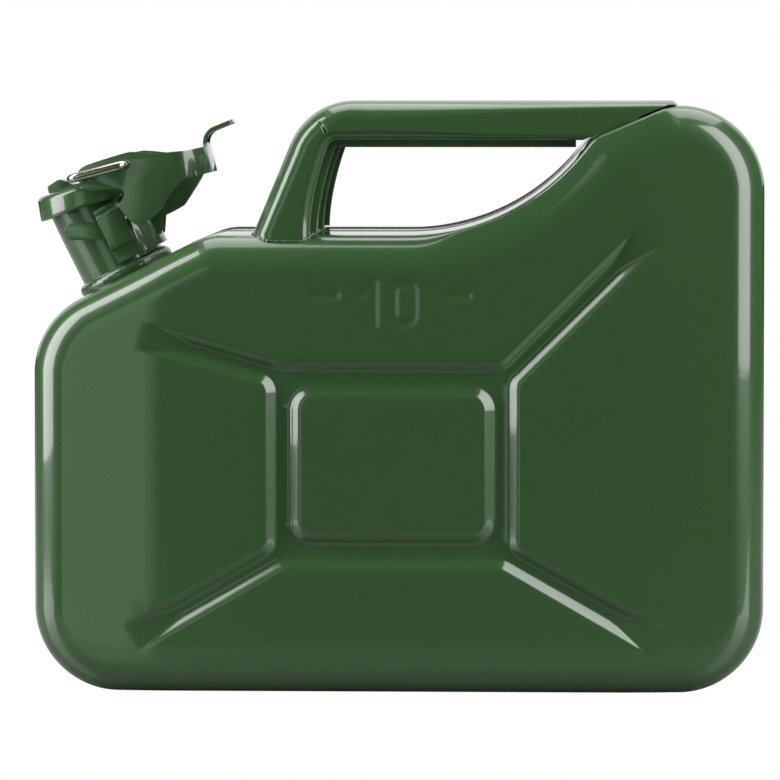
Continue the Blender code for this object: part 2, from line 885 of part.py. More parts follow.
def build_straps(root):
    """A joggled strap on each side of the neck, and the lug that it holds."""
    for side, sign in (("front", -1), ("rear", 1)):
        base = neck_radius + fit_gap
        run = strap_profile()
        left, right = strap_left, strap_left + strap_width
        bm = bmesh.new()
        pairs = [[bm.verts.new((x, sign * (base + out), up)) for x in (left, right)] for up, out in run]
        for (a, b), (c, d) in zip(pairs, pairs[1:]):
            bm.faces.new((a, b, d, c) if sign < 0 else (a, c, d, b))
        mesh = bpy.data.meshes.new("strap_" + side)
        bm.to_mesh(mesh)
        bm.free()
        name = "neck_strap_" + side
        item = mesh_object(name, mesh, painted(name), root, neck_matrix())
        wall = item.modifiers.new("sheet", "SOLIDIFY")
        wall.thickness = strap_thickness
        wall.offset = 1
        wall.use_even_offset = True
        build_lug(side, sign, root)


def build_lug(side, sign, root):
    """A flat bar with a round free end, level with the ground, held under the strap's bulge."""
    start = neck_matrix() @ Vector((lug_end_left, 0, lug_end_up))
    half = lug_height / 2
    low_z = start.z - half
    corners = [
        (start.x, low_z, half - fit_gap / 10),
        (start.x + lug_length, low_z, fit_gap),
        (start.x + lug_length, low_z + lug_height, fit_gap),
        (start.x, low_z + lug_height, half - fit_gap / 10),
    ]
    outline = [tuple(point) for point in outline_points(corners, math.radians(30))]
    y = sign * (neck_radius + fit_gap + lug_thickness / 2)
    name = "neck_lug_" + side
    plate_object(name, outline, lug_thickness, painted(name), root, plate_place(Matrix.Identity(4), y))


def build_breather(root):
    """Air tube inside the neck that runs under the shoulder towards the air chamber."""
    along = neck_bore_radius - fit_gap - tube_radius
    place = neck_matrix()
    low = place @ Vector((along, 0, -tube_clearance))
    corners = [place @ Vector((along, 0, tube_top)), low, low + Vector((tube_reach, 0, 0))]
    path = rounded_path([tuple(corner) for corner in corners], tube_radius + tube_bend, 6)
    tube = wire_object("breather_tube", path, tube_radius, zinc_plated("breather_tube"), root, rings=3)
    first = (path[0] - path[1]).normalized() * overrun
    last = (path[-1] - path[-2]).normalized() * overrun
    inside = [path[0] + first] + path[1:-1] + [path[-1] + last]
    bore = wire_object("breather_bore", inside, tube_bore_radius, None, None, rings=2)
    move_to_cutters(bore)
    combine(tube, bore, "DIFFERENCE")


def build_lid(lid):
    inner = lid_radius - lid_wall
    under = lid_height - lid_wall
    edge = lid_edge_radius
    profile = [
        (0, lid_height), (lid_radius - edge, lid_height), (lid_radius, lid_height - edge), (lid_radius, 0),
        (inner, 0), (inner, under), (0, under),
    ]
    turned_object("lid_cap", profile, painted("lid_cap"), lid, mouth_matrix(), neck_sides, False)
    outer = inner - fit_gap
    low = rim_rise + fit_gap
    high = low + gasket_thickness
    ring = [(outer, high), (outer, low), (gasket_inner_radius, low), (gasket_inner_radius, high)]
    turned_object("lid_gasket", ring, rubber("lid_gasket"), lid, mouth_matrix(), neck_sides)
    build_bridge(lid)


def hinge_in_mouth():
    """The lid hinge in the mouth's frame."""
    return mouth_matrix().inverted() @ neck_matrix() @ Vector((hinge_out, 0, hinge_up))


def build_bridge(lid):
    """Strap over the lid with the catch, the lever's ears and two arms down to the hinge pin."""
    base = lid_height + fit_gap
    top = base + bridge_thickness
    rear = lid_radius + bridge_rear_gap + bridge_arm_width
    width = 2 * bridge_half_width
    place = mouth_matrix()
    frame = plate_place(place, 0)
    catch_top = top + catch_height
    corners = [
        (bridge_left, base, fit_gap),
        (rear, base, fit_gap),
        (rear, top, bridge_thickness / 2),
        (bridge_left + catch_length + overrun, top, overrun),
        (bridge_left + catch_length, catch_top - overrun, overrun / 2),
        (bridge_left + catch_tip, catch_top, overrun),
        (bridge_left, top + overrun, overrun / 2),
    ]
    outline = [tuple(point) for point in outline_points(corners, math.radians(45))]
    item = plate_object("lid_bridge", outline, width, painted("lid_bridge"), lid, frame)
    hinge = hinge_in_mouth()
    arm_left = lid_radius + bridge_rear_gap
    arm = [
        (hinge.x - ear_radius, hinge.z - ear_radius, ear_radius - fit_gap),
        (hinge.x + ear_radius, hinge.z - ear_radius, ear_radius - fit_gap),
        (rear - fit_gap, base + bridge_thickness / 2, fit_gap),
        (arm_left, base + bridge_thickness / 2, fit_gap),
        (arm_left, hinge.z + ear_radius, overrun / 2),
        (hinge.x - ear_radius, hinge.z + overrun / 2, overrun),
    ]
    ear = [
        (lever_pin_along - 2 * lever_ear_radius, base + bridge_thickness / 2, fit_gap),
        (lever_pin_along + 2 * lever_ear_radius, base + bridge_thickness / 2, fit_gap),
        (lever_pin_along + lever_ear_radius, lever_pin_up + lever_ear_radius, lever_ear_radius - fit_gap),
        (lever_pin_along - lever_ear_radius, lever_pin_up + lever_ear_radius, lever_ear_radius - fit_gap),
    ]
    for corner_set in (arm, ear):
        shape = [tuple(point) for point in outline_points(corner_set, math.radians(30))]
        for side in (-1, 1):
            y = side * (bridge_half_width - bridge_arm_thickness / 2 - fit_gap / 3)
            side_place = plate_place(place, y)
            plate = plate_object("bridge_plate", shape, bridge_arm_thickness, None, None, side_place)
            move_to_cutters(plate)
            combine(item, plate, "UNION")
    reach = 2 * bridge_half_width
    combine(item, pin_hole("bridge_hinge_hole", place, hinge.x, hinge.z, pin_radius, reach), "DIFFERENCE")
    lever_hole = pin_hole("bridge_lever_hole", place, lever_pin_along, lever_pin_up, pin_radius, reach)
    combine(item, lever_hole, "DIFFERENCE")
    apply_modifiers(item)
    smooth(item)
    half = lever_half_width + lever_sheet / 2 + fit_gap
    headed_pin("lever_pin", half, place, lever_pin_along, lever_pin_up, painted("lever_pin"), lid)


def cheek_outline():
    """Side view of the lever's cheek in the mouth's frame, from the web's top round to its foot."""
    outline = [(lever_web_along * web_top_share, lever_web_high)]
    for length_share, height_share in zip(cheek_length_shares, cheek_height_shares):
        outline.append((lever_web_along * length_share, cheek_foot + cheek_height * height_share))
    outline.append((lever_web_along * web_root_share, lever_web_low))
    return outline


def lever_pattern():
    """The lever's flat pattern as (distance from the middle of the web, height)."""
    bend = math.pi / 2 * lever_bend_radius
    flat = lever_half_width - lever_bend_radius
    cheek_start = lever_web_along - lever_bend_radius
    tab_top = lever_web_high + tab_rise + tab_bend_radius * tab_bend_angle + tab_flat
    half = [(tab_half_width - overrun, tab_top), (tab_half_width, tab_top - overrun),
            (tab_half_width, lever_web_high + overrun), (tab_half_width + overrun, lever_web_high)]
    for along, up in cheek_outline():
        half.append((flat + bend + cheek_start - along, up))
    mirrored = [(-across, up) for across, up in reversed(half)]
    return half + mirrored


def fold_lever(vertex):
    """Moves a point of the flat pattern to its place on the folded lever."""
    across, up = vertex.co.x, vertex.co.y
    bend = math.pi / 2 * lever_bend_radius
    flat = lever_half_width - lever_bend_radius
    sign = math.copysign(1, across)
    distance = abs(across)
    along, side = lever_web_along, distance
    if distance > flat + bend:
        along = lever_web_along - lever_bend_radius - (distance - flat - bend)
        side = lever_half_width
    elif distance > flat:
        angle = (distance - flat) / lever_bend_radius
        along = lever_web_along - lever_bend_radius * (1 - math.cos(angle))
        side = flat + lever_bend_radius * math.sin(angle)
    bend_start = lever_web_high + tab_rise
    if up > bend_start:
        angle = min((up - bend_start) / tab_bend_radius, tab_bend_angle)
        rest = up - bend_start - angle * tab_bend_radius
        along += tab_bend_radius * (1 - math.cos(angle)) + rest * math.sin(angle)
        up = bend_start + tab_bend_radius * math.sin(angle) + rest * math.cos(angle)
    vertex.co = (along, sign * side, up)


def build_lever(lever):
    """One folded sheet: two cheeks, the web between them and the curled thumb tab."""
    bm = bmesh.new()
    bm.faces.new([bm.verts.new((across, up, 0)) for across, up in lever_pattern()])
    bend = math.pi / 2 * lever_bend_radius
    flat = lever_half_width - lever_bend_radius
    steps = 5
    for side in (-1, 1):
        for k in range(steps + 1):
            cut_sheet(bm, (side * (flat + bend * k / steps), 0, 0), (1, 0, 0))
    for k in range(steps + 1):
        height = lever_web_high + tab_rise + tab_bend_radius * tab_bend_angle * k / steps
        cut_sheet(bm, (0, height, 0), (0, 1, 0))
    for vertex in bm.verts:
        fold_lever(vertex)
    mesh = mesh_from(bm, "lever")
    item = mesh_object("lever", mesh, painted("lever"), lever, mouth_matrix())
    wall = item.modifiers.new("sheet", "SOLIDIFY")
    wall.thickness = lever_sheet
    wall.offset = 0
    wall.use_even_offset = True
    reach = 2 * lever_half_width
    place = mouth_matrix()
    pin = pin_hole("lever_pin_hole", place, lever_pin_along, lever_pin_up, pin_radius, reach)
    combine(item, pin, "DIFFERENCE")
    hole = pin_hole("bail_hole", place, bail_pivot_along, bail_pivot_up, wire_radius, reach)
    combine(item, hole, "DIFFERENCE")
    apply_modifiers(item)
    smooth(item)


def cut_sheet(bm, point, normal):
    geometry = list(bm.verts) + list(bm.edges) + list(bm.faces)
    bmesh.ops.bisect_plane(bm, geom=geometry, plane_co=point, plane_no=normal, dist=fit_gap / 1000)


def build_bail(bail):
    """Wire bail: two ends in the lever's cheeks, two legs and the bar behind the catch."""
    leg_y = lever_half_width + lever_sheet / 2 + 2 * fit_gap + pin_head_length + bail_side_gap + wire_radius
    end_y = lever_half_width - lever_sheet
    corners = [(bail_pivot_along, -end_y, bail_pivot_up)]
    corners.append((bail_pivot_along, -leg_y, bail_pivot_up))
    corners.append((bail_cross_along, -leg_y, bail_cross_up))
    corners += [(x, -y, z) for x, y, z in reversed(corners)]
    path = rounded_path(corners, bail_bend_radius, 5)
    place = mouth_matrix()
    wire_object("locking_bail", path, wire_radius, zinc_plated("bail"), bail, place=place)


clear_scene()
parts = make_collection("jerry_can")
cutters = make_collection("cutters")
guides = make_collection("joint_frames")
can_frame = make_empty("can_frame", can_matrix())
lid_place = neck_matrix() @ Matrix.Translation((hinge_out, 0, hinge_up))
lid_frame = make_empty("lid_hinge_frame", lid_place, can_frame)
lever_place = mouth_matrix() @ Matrix.Translation((lever_pin_along, 0, lever_pin_up))
lever_frame = make_empty("lever_pivot_frame", lever_place, lid_frame)
bail_place = mouth_matrix() @ Matrix.Translation((bail_pivot_along, 0, bail_pivot_up))
bail_frame = make_empty("bail_pivot_frame", bail_place, lever_frame)

build_body(can_frame)
build_handles(can_frame)
build_neck(can_frame)
build_hinge_bracket(can_frame)
build_straps(can_frame)
build_breather(can_frame)
build_lid(lid_frame)
build_lever(lever_frame)
build_bail(bail_frame)
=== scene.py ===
import math

import bmesh
import bpy
import numpy as np
from mathutils import Matrix, Vector
from mathutils.geometry import delaunay_2d_cdt


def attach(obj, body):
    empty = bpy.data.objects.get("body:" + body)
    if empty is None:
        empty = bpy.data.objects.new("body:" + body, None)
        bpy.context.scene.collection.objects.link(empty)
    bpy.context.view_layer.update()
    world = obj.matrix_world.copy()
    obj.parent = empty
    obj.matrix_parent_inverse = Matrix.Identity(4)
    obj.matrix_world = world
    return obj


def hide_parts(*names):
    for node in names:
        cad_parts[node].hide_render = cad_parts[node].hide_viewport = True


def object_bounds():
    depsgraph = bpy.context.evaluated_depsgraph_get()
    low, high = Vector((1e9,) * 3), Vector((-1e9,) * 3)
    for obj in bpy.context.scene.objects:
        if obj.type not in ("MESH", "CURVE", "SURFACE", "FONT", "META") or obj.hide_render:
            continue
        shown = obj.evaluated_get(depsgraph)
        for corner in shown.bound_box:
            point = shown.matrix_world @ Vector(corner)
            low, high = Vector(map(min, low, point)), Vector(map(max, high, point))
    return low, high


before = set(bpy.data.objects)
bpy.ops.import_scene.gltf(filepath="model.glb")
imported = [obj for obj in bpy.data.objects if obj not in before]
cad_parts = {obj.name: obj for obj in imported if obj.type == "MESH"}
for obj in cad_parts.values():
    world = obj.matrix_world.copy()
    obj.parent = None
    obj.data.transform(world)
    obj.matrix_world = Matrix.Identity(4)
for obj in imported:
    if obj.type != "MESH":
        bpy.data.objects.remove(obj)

cad_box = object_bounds()

MM = 0.001

# The can's body, in millimetres from the middle of its foot
LENGTH = 345.0
CREST = 277.0
HALF_DEPTH = 82.5
LOW_TOP = 216.0
SHOULDER = math.radians(26.5)
SHOULDER_RUN = 82.7
SHOULDER_X = -LENGTH / 2 + SHOULDER_RUN
CORNER_RADIUS = 40.0
EDGE_RADIUS = 17.0
SHEET = 0.9
SEAM_DEPTH = 3.0

# The body's right end is the right side of the solids' box, while the lid reaches past its left end
SHIFT = round(cad_box[1][0] / MM - LENGTH / 2, 4)

# Where the pressed face bends back towards its ends
CREASES = (-112.5, 109.5)
CREASE_HALF = 5.0
SIDE_SLOPE = math.tan(math.radians(5))

# The groove around the centre panel: its depth, and the widths of its sloping walls and of its floor
PRESS = 3.8
WALL = 4.8
FLOOR = 6.2

# The centre panel, and the arms that run out from the groove
PANEL_X, PANEL_Z = -2.5, 108.5
PANEL_HALF_X, PANEL_HALF_Z = 43.4, 32.5
PANEL_RADIUS = 6.5
ARM_HALF = 7.0
ARM_OVERRUN = 14.0

# An arm starts this far from the panel's middle, and fades out over a length that ends past its tip
ARM_START = 40.0
ARM_FADE = 28.0
ARM_PAST_TIP = 5.0

# The pressed figures, placed from the middle of the mark
MARK_X = -2.85
FIGURE_Z = 184.38
FIGURE_HALF = 9.5
ONE_X = MARK_X - 8.11
ONE_FLAG = 5.23
NOUGHT_X = MARK_X + 5.68
NOUGHT_HALF = FIGURE_HALF / 2
DASH_X, DASH_Z = 30.89, 188.18
DASH_HALF = 4.75

# A stroke's flat to each side of its centre line, the width of its slope, and its depth
STROKE_HALF = 0.5
STROKE_SLOPE = 3.0
STROKE_DEPTH = 0.45

# The neck leans to the left, and its mouth leans less
NECK_LEAN = math.radians(26.5)
MOUTH_LEAN = math.radians(14)
NECK_X = -LENGTH / 2 + 38.7
NECK_Z = LOW_TOP - (SHOULDER_X - NECK_X) * math.tan(SHOULDER)
NECK_LENGTH = 39.0
NECK_RADIUS = 21.0
NECK_BORE = 19.8
MOUTH_X = NECK_X - NECK_LENGTH * math.sin(NECK_LEAN)
MOUTH_Z = NECK_Z + NECK_LENGTH * math.cos(NECK_LEAN)
LID_RADIUS = 26.2

# Pins as (along, up) in the frame that carries them
HINGE_PIN = (27.0, 26.0)
LEVER_PIN = (6.0, 13.3)
BAIL_PIVOT = (23.2, 14.6)


def in_place(x, y, z):
    """A point in body millimetres as a point of the scene."""
    return Vector(((x + SHIFT) * MM, y * MM, z * MM))


def leaning_frame(x, z, lean):
    """A frame on the can's middle plane, leaning to the left."""
    return Matrix.Translation(in_place(x, 0, z)) @ Matrix.Rotation(-lean, 4, "Y")


NECK_FRAME = leaning_frame(NECK_X, NECK_Z, NECK_LEAN)
MOUTH_FRAME = leaning_frame(MOUTH_X, MOUTH_Z, MOUTH_LEAN)


# Materials

def node(tree, kind, **values):
    item = tree.nodes.new(kind)
    for name, value in values.items():
        setattr(item, name, value)
    return item


def noise(tree, scale, detail):
    place = node(tree, "ShaderNodeTexCoord")
    item = node(tree, "ShaderNodeTexNoise")
    item.inputs["Scale"].default_value = scale
    item.inputs["Detail"].default_value = detail
    tree.links.new(place.outputs["Object"], item.inputs["Vector"])
    return item.outputs["Fac"]


def ramp(tree, source, low, high, first, last):
    item = node(tree, "ShaderNodeMapRange")
    item.inputs["From Min"].default_value = low
    item.inputs["From Max"].default_value = high
    item.inputs["To Min"].default_value = first
    item.inputs["To Max"].default_value = last
    tree.links.new(source, item.inputs["Value"])
    return item.outputs["Result"]


def mix_colour(tree, factor, first, second):
    """A mix of two colours, of which the first may be the output of a node."""
    item = node(tree, "ShaderNodeMix", data_type="RGBA")
    tree.links.new(factor, item.inputs[0])
    if isinstance(first, tuple):
        item.inputs[6].default_value = (*first, 1)
    else:
        tree.links.new(first, item.inputs[6])
    item.inputs[7].default_value = (*second, 1)
    return item.outputs[2]


def new_material(name):
    material = bpy.data.materials.new(name)
    material.use_nodes = True
    tree = material.node_tree
    return material, tree, tree.nodes["Principled BSDF"]


def bump_chain(tree, shader, layers):
    """Bump layers, given as (height socket, strength, distance), into the shader's normal."""
    last = None
    for height, strength, distance in layers:
        bump = node(tree, "ShaderNodeBump")
        bump.inputs["Strength"].default_value = strength
        bump.inputs["Distance"].default_value = distance
        tree.links.new(height, bump.inputs["Height"])
        if last:
            tree.links.new(last, bump.inputs["Normal"])
        last = bump.outputs["Normal"]
    tree.links.new(last, shader.inputs["Normal"])
    return last


def paint_material(name, peel):
    """Glossy enamel: slight colour drift, orange peel, and a lighter green along sharp edges."""
    material, tree, shader = new_material(name)
    drift = ramp(tree, noise(tree, 5.0, 1.0), 0.1, 0.9, 0, 1)
    colour = mix_colour(tree, drift, (0.040, 0.107, 0.032), (0.041, 0.110, 0.033))
    geometry = node(tree, "ShaderNodeNewGeometry")
    sharp = ramp(tree, geometry.outputs["Pointiness"], 0.56, 0.66, 0, 0.30)
    colour = mix_colour(tree, sharp, colour, (0.066, 0.140, 0.057))
    tree.links.new(colour, shader.inputs["Base Color"])
    gloss = ramp(tree, noise(tree, 55.0, 2.0), 0.2, 0.8, 0.26, 0.30)
    tree.links.new(gloss, shader.inputs["Roughness"])
    shader.inputs["Coat Weight"].default_value = 1.0
    shader.inputs["Coat Roughness"].default_value = 0.045
    shader.inputs["Coat IOR"].default_value = 1.5
    waves = noise(tree, 210.0, 2.0)
    swell = noise(tree, 18.0, 0.0)
    normal = bump_chain(tree, shader, [(swell, 0.03, 0.0005), (waves, peel, 0.00010)])
    tree.links.new(normal, shader.inputs["Coat Normal"])
    return material


def zinc_material(name):
    """Bright zinc with a faint yellow passivation and a fine grain."""
    material, tree, shader = new_material(name)
    cloud = ramp(tree, noise(tree, 60.0, 3.0), 0.35, 0.65, 0, 1)
    colour = mix_colour(tree, cloud, (0.50, 0.46, 0.36), (0.66, 0.64, 0.56))
    tree.links.new(colour, shader.inputs["Base Color"])
    shader.inputs["Metallic"].default_value = 1.0
    grain = noise(tree, 900.0, 2.0)
    tree.links.new(ramp(tree, grain, 0.3, 0.7, 0.16, 0.24), shader.inputs["Roughness"])
    bump_chain(tree, shader, [(grain, 0.08, 0.00003)])
    return material


def rubber_material(name):
    """Matt black rubber with a fine grain."""
    material, tree, shader = new_material(name)
    grain = noise(tree, 1200.0, 3.0)
    colour = mix_colour(tree, grain, (0.010, 0.010, 0.010), (0.022, 0.021, 0.020))
    tree.links.new(colour, shader.inputs["Base Color"])
    shader.inputs["Roughness"].default_value = 0.72
    bump_chain(tree, shader, [(grain, 0.35, 0.00008)])
    return material


def weld_material(name):
    """Enamel over a weld bead, lumpier and less glossy than on the sheet."""
    material, tree, shader = new_material(name)
    lumps = noise(tree, 420.0, 2.0)
    colour = mix_colour(tree, lumps, (0.030, 0.078, 0.025), (0.038, 0.098, 0.032))
    tree.links.new(colour, shader.inputs["Base Color"])
    shader.inputs["Roughness"].default_value = 0.34
    shader.inputs["Coat Weight"].default_value = 0.9
    shader.inputs["Coat Roughness"].default_value = 0.09
    normal = bump_chain(tree, shader, [(lumps, 0.3, 0.0004)])
    tree.links.new(normal, shader.inputs["Coat Normal"])
    return material


PAINT = paint_material("enamel", peel=0.08)
FITTING_PAINT = paint_material("enamel_fittings", peel=0.12)
WELD = weld_material("enamel_over_weld")
ZINC = zinc_material("zinc_wire")
RUBBER = rubber_material("seal_rubber")


# Mesh helpers

def add_piece(name, mesh, material, body, replaced=()):
    """A visible piece that rides on a body and may stand for CAD nodes."""
    piece = bpy.data.objects.new(name, mesh)
    bpy.context.scene.collection.objects.link(piece)
    mesh.materials.clear()
    mesh.materials.append(material)
    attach(piece, body)
    if replaced:
        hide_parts(*replaced)
    return piece


def finish_mesh(mesh, angle):
    """Smooth shading, with edges sharper than an angle in degrees kept."""
    mesh.shade_smooth()
    mesh.set_sharp_from_angle(angle=math.radians(angle))


def mesh_from(bm, name, place=None):
    """A mesh with its faces turned outwards, moved to its place."""
    bmesh.ops.recalc_face_normals(bm, faces=bm.faces)
    mesh = bpy.data.meshes.new(name)
    bm.to_mesh(mesh)
    bm.free()
    if place is not None:
        mesh.transform(place)
    return mesh


def cylinder(radius, half, sides, place):
    """A cylinder that reaches half its length to each side of its place."""
    bm = bmesh.new()
    bmesh.ops.create_cone(bm, cap_ends=True, segments=sides, radius1=radius * MM, radius2=radius * MM,
                          depth=2 * half * MM)
    return mesh_from(bm, "cylinder", place)


def add_hole(piece, radius, half, sides, place):
    """A round cut through a piece, made when its modifiers are applied."""
    hole = bpy.data.objects.new("hole", cylinder(radius, half, sides, place))
    bpy.context.scene.collection.objects.link(hole)
    cut = piece.modifiers.new("hole", "BOOLEAN")
    cut.operation = "DIFFERENCE"
    cut.object = hole
    cut.solver = "EXACT"


def apply_modifiers(piece):
    """Bakes a piece's modifiers into its mesh and removes the cylinders that cut its holes."""
    bpy.context.view_layer.update()
    evaluated = piece.evaluated_get(bpy.context.evaluated_depsgraph_get())
    mesh = bpy.data.meshes.new_from_object(evaluated)
    holes = [modifier.object for modifier in piece.modifiers if modifier.type == "BOOLEAN"]
    piece.modifiers.clear()
    piece.data = mesh
    for hole in holes:
        bpy.data.objects.remove(hole)


def bevel_edges(piece, width, angle=30.0):
    """Rounds the edges that are sharper than an angle in degrees."""
    bevel = piece.modifiers.new("edges", "BEVEL")
    bevel.width = width * MM
    bevel.segments = 3
    bevel.limit_method = "ANGLE"
    bevel.angle_limit = math.radians(angle)
    bevel.harden_normals = False
    apply_modifiers(piece)
    finish_mesh(piece.data, 40)


def softened(cad, name, body, width):
    """A painted copy of a CAD node with rounded edges."""
    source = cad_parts[cad].data.copy()
    bm = bmesh.new()
    bm.from_mesh(source)
    bmesh.ops.remove_doubles(bm, verts=bm.verts, dist=0.00001)
    bmesh.ops.dissolve_limit(bm, angle_limit=math.radians(1.5), verts=bm.verts, edges=bm.edges)
    bm.to_mesh(source)
    bm.free()
    piece = add_piece(name, source, FITTING_PAINT, body, (cad,))
    bevel_edges(piece, width)


# Outlines in a plane

def inset(corners, distance):
    """Corners (x, z, radius) of a rounded outline, moved inwards."""
    moved = []
    count = len(corners)
    for i, (x, z, radius) in enumerate(corners):
        corner = Vector((x, z))
        into = (corner - Vector(corners[i - 1][:2])).normalized()
        out = (Vector(corners[(i + 1) % count][:2]) - corner).normalized()
        side_in, side_out = Vector((-into.y, into.x)), Vector((-out.y, out.x))
        corner += (side_in + side_out) * distance / (1 + side_in.dot(side_out))
        radius = radius - distance if into.cross(out) > 0 else radius + distance
        moved.append((corner.x, corner.y, max(radius, 0.2)))
    return moved


def rounded(corners, step, longest=None):
    """Points of a rounded outline, a step in degrees apart on its arcs.

    Straight runs get points only where a longest gap is given. The tiny part taken off before rounding up
    gives a corner the same number of points wherever the outline has been moved.
    """
    points = []
    count = len(corners)
    for i, (x, z, radius) in enumerate(corners):
        corner = Vector((x, z))
        into = (corner - Vector(corners[i - 1][:2])).normalized()
        out = (Vector(corners[(i + 1) % count][:2]) - corner).normalized()
        turn = math.atan2(into.cross(out), into.dot(out))
        side = Vector((-into.y, into.x)) * math.copysign(radius, turn)
        start = corner - into * radius * math.tan(abs(turn) / 2)
        steps = max(2, math.ceil(abs(turn) / math.radians(step) - 1e-6))
        for k in range(steps + 1):
            points.append(start + side + Matrix.Rotation(turn * k / steps, 2) @ -side)
    if longest:
        dense = []
        for a, b in zip(points, points[1:] + points[:1]):
            cuts = max(1, math.ceil((b - a).length / longest))
            dense += [a.lerp(b, k / cuts) for k in range(cuts)]
        points = dense
    return np.array([tuple(p) for p in points])


def signed_distance(points, outline):
    """Distance to a closed outline, negative inside."""
    a = outline
    b = np.roll(outline, -1, axis=0)
    ab = b - a
    length = (ab ** 2).sum(1)
    result = np.empty(len(points))
    block = 4000
    for first in range(0, len(points), block):
        p = points[first:first + block, None, :]
        t = np.clip(((p - a) * ab).sum(2) / length, 0, 1)
        gap = p - a - t[..., None] * ab
        near = np.sqrt((gap ** 2).sum(2)).min(1)
        crosses = (a[:, 1] > p[..., 1]) != (b[:, 1] > p[..., 1])
        with np.errstate(divide="ignore", invalid="ignore"):
            at = a[:, 0] + (p[..., 1] - a[:, 1]) / (b[:, 1] - a[:, 1]) * ab[:, 0]
        inside = (crosses & (p[..., 0] < at)).sum(1) % 2 == 1
        result[first:first + block] = np.where(inside, -near, near)
    return result


def body_corners():
    """Corners (x, z, radius) of the can's outline, anticlockwise from the lower left."""
    left, right = -LENGTH / 2, LENGTH / 2
    saddle_top = right - 44.5
    saddle_edge = saddle_top - 36.0
    return [
        (left, 0, CORNER_RADIUS), (right, 0, CORNER_RADIUS), (right, CREST, CORNER_RADIUS),
        (saddle_top, CREST, 20.0), (saddle_edge, CREST - 15.0, 15.0), (saddle_edge - 37.7, LOW_TOP, 106.0),
        (SHOULDER_X, LOW_TOP, 30.0), (left, LOW_TOP - SHOULDER_RUN * math.tan(SHOULDER), CORNER_RADIUS),
    ]


def box_corners(x, z, half_x, half_z, radius):
    """Corners of an upright rounded box, anticlockwise from the lower left."""
    signs = ((-1, -1), (1, -1), (1, 1), (-1, 1))
    return [(x + right * half_x, z + up * half_z, radius) for right, up in signs]


# The pressed face

# Tips of the arms from the middle of the panel, as shares of the can's length and height
ARM_TIPS = {
    "upper_left": (-0.332, 0.216), "lower_left": (-0.345, -0.289),
    "lower_right": (0.353, -0.293), "upper_right": (0.343, 0.384),
}


def groove_corners():
    """Corners of the ring around the panel with its four arms, and each arm's tip and direction."""
    ring_x = PANEL_HALF_X + 2 * WALL + FLOOR
    ring_z = PANEL_HALF_Z + 2 * WALL + FLOOR
    cut_x, cut_z = 8.5, 10.4
    corners, arms = [], []
    for name, right, up in (("upper_left", -1, 1), ("lower_left", -1, -1), ("lower_right", 1, -1),
                            ("upper_right", 1, 1)):
        above = Vector((PANEL_X + right * (ring_x - cut_x), PANEL_Z + up * ring_z))
        beside = Vector((PANEL_X + right * ring_x, PANEL_Z + up * (ring_z - cut_z)))
        tip = Vector((PANEL_X + ARM_TIPS[name][0] * LENGTH, PANEL_Z + ARM_TIPS[name][1] * CREST))
        along = (tip - (above + beside) / 2).normalized()
        across = Vector((-along.y, along.x)) * ARM_HALF
        first, last = (above, beside) if right * up < 0 else (beside, above)
        far = tip + along * ARM_OVERRUN
        corners += [(*first, 4.5), (*(far - across), 2.0), (*(far + across), 2.0), (*last, 4.5)]
        arms.append((np.array(tip), np.array(along)))
    return corners, arms


GROOVE_CORNERS, ARMS = groove_corners()
GROOVE = rounded(GROOVE_CORNERS, 8, 6.0)
CENTRE_PANEL = rounded(box_corners(PANEL_X, PANEL_Z, PANEL_HALF_X, PANEL_HALF_Z, PANEL_RADIUS), 8, 6.0)


def mark_strokes():
    """Centre lines of the pressed dashes, one and nought, each as an array of points."""
    low, high = FIGURE_Z - FIGURE_HALF, FIGURE_Z + FIGURE_HALF
    strokes = []
    for x in (MARK_X - DASH_X, MARK_X + DASH_X):
        strokes.append([(x - DASH_HALF, DASH_Z), (x + DASH_HALF, DASH_Z)])
    strokes.append([(ONE_X - ONE_FLAG, high - ONE_FLAG), (ONE_X, high), (ONE_X, low)])
    nought = list(rounded(box_corners(NOUGHT_X, FIGURE_Z, NOUGHT_HALF, FIGURE_HALF, 4.6), 15))
    strokes.append(nought + nought[:1])
    return [np.array(stroke) for stroke in strokes]


def stroke_distance(points, rear):
    """Distance to the pressed figures, turned round on the rear face so that they read there."""
    if rear:
        points = points * (-1, 1) + (2 * MARK_X, 0)
    best = np.full(len(points), 1e9)
    for stroke in mark_strokes():
        for a, b in zip(stroke, stroke[1:]):
            ab = b - a
            t = np.clip(((points - a) @ ab) / (ab @ ab), 0, 1)
            best = np.minimum(best, np.linalg.norm(points - a - t[:, None] * ab, axis=1))
    return best


def smooth(value):
    """A soft rise from 0 to 1."""
    value = np.clip(value, 0, 1)
    return value * value * (3 - 2 * value)


def eased(value, half):
    """The value above 0 and nothing below it, with a round bend a half width to each side."""
    bend = (value + half) ** 2 / (4 * half)
    return np.where(value < -half, 0, np.where(value > half, value, bend))


def soft_step(value):
    """A straight ramp from 0 to 1 with small rounds at both ends."""
    return eased(value, 0.13) - eased(value - 1, 0.13)


def face_drop(points, rear):
    """How far the face lies behind its flat, in millimetres, at (x, z) points."""
    x = points[:, 0]
    fall = eased(np.maximum(CREASES[0] - x, x - CREASES[1]), CREASE_HALF) * SIDE_SLOPE
    depth = np.full(len(points), PRESS)
    for tip, along in ARMS:
        ahead = (points - tip) @ along
        on_arm = (points - (PANEL_X, PANEL_Z)) @ along > ARM_START
        faded = PRESS * smooth((ARM_PAST_TIP - ahead) / ARM_FADE)
        depth = np.where(on_arm, np.minimum(depth, faded), depth)
    depth = np.maximum(depth, 1e-4)
    inside = -signed_distance(points, GROOVE)
    groove = depth * soft_step(inside / (WALL * depth / PRESS))
    groove *= soft_step(signed_distance(points, CENTRE_PANEL) / WALL)
    figures = STROKE_DEPTH * (1 - smooth((stroke_distance(points, rear) - STROKE_HALF) / STROKE_SLOPE))
    return fall + np.where(inside > -2.0, groove, 0) + figures


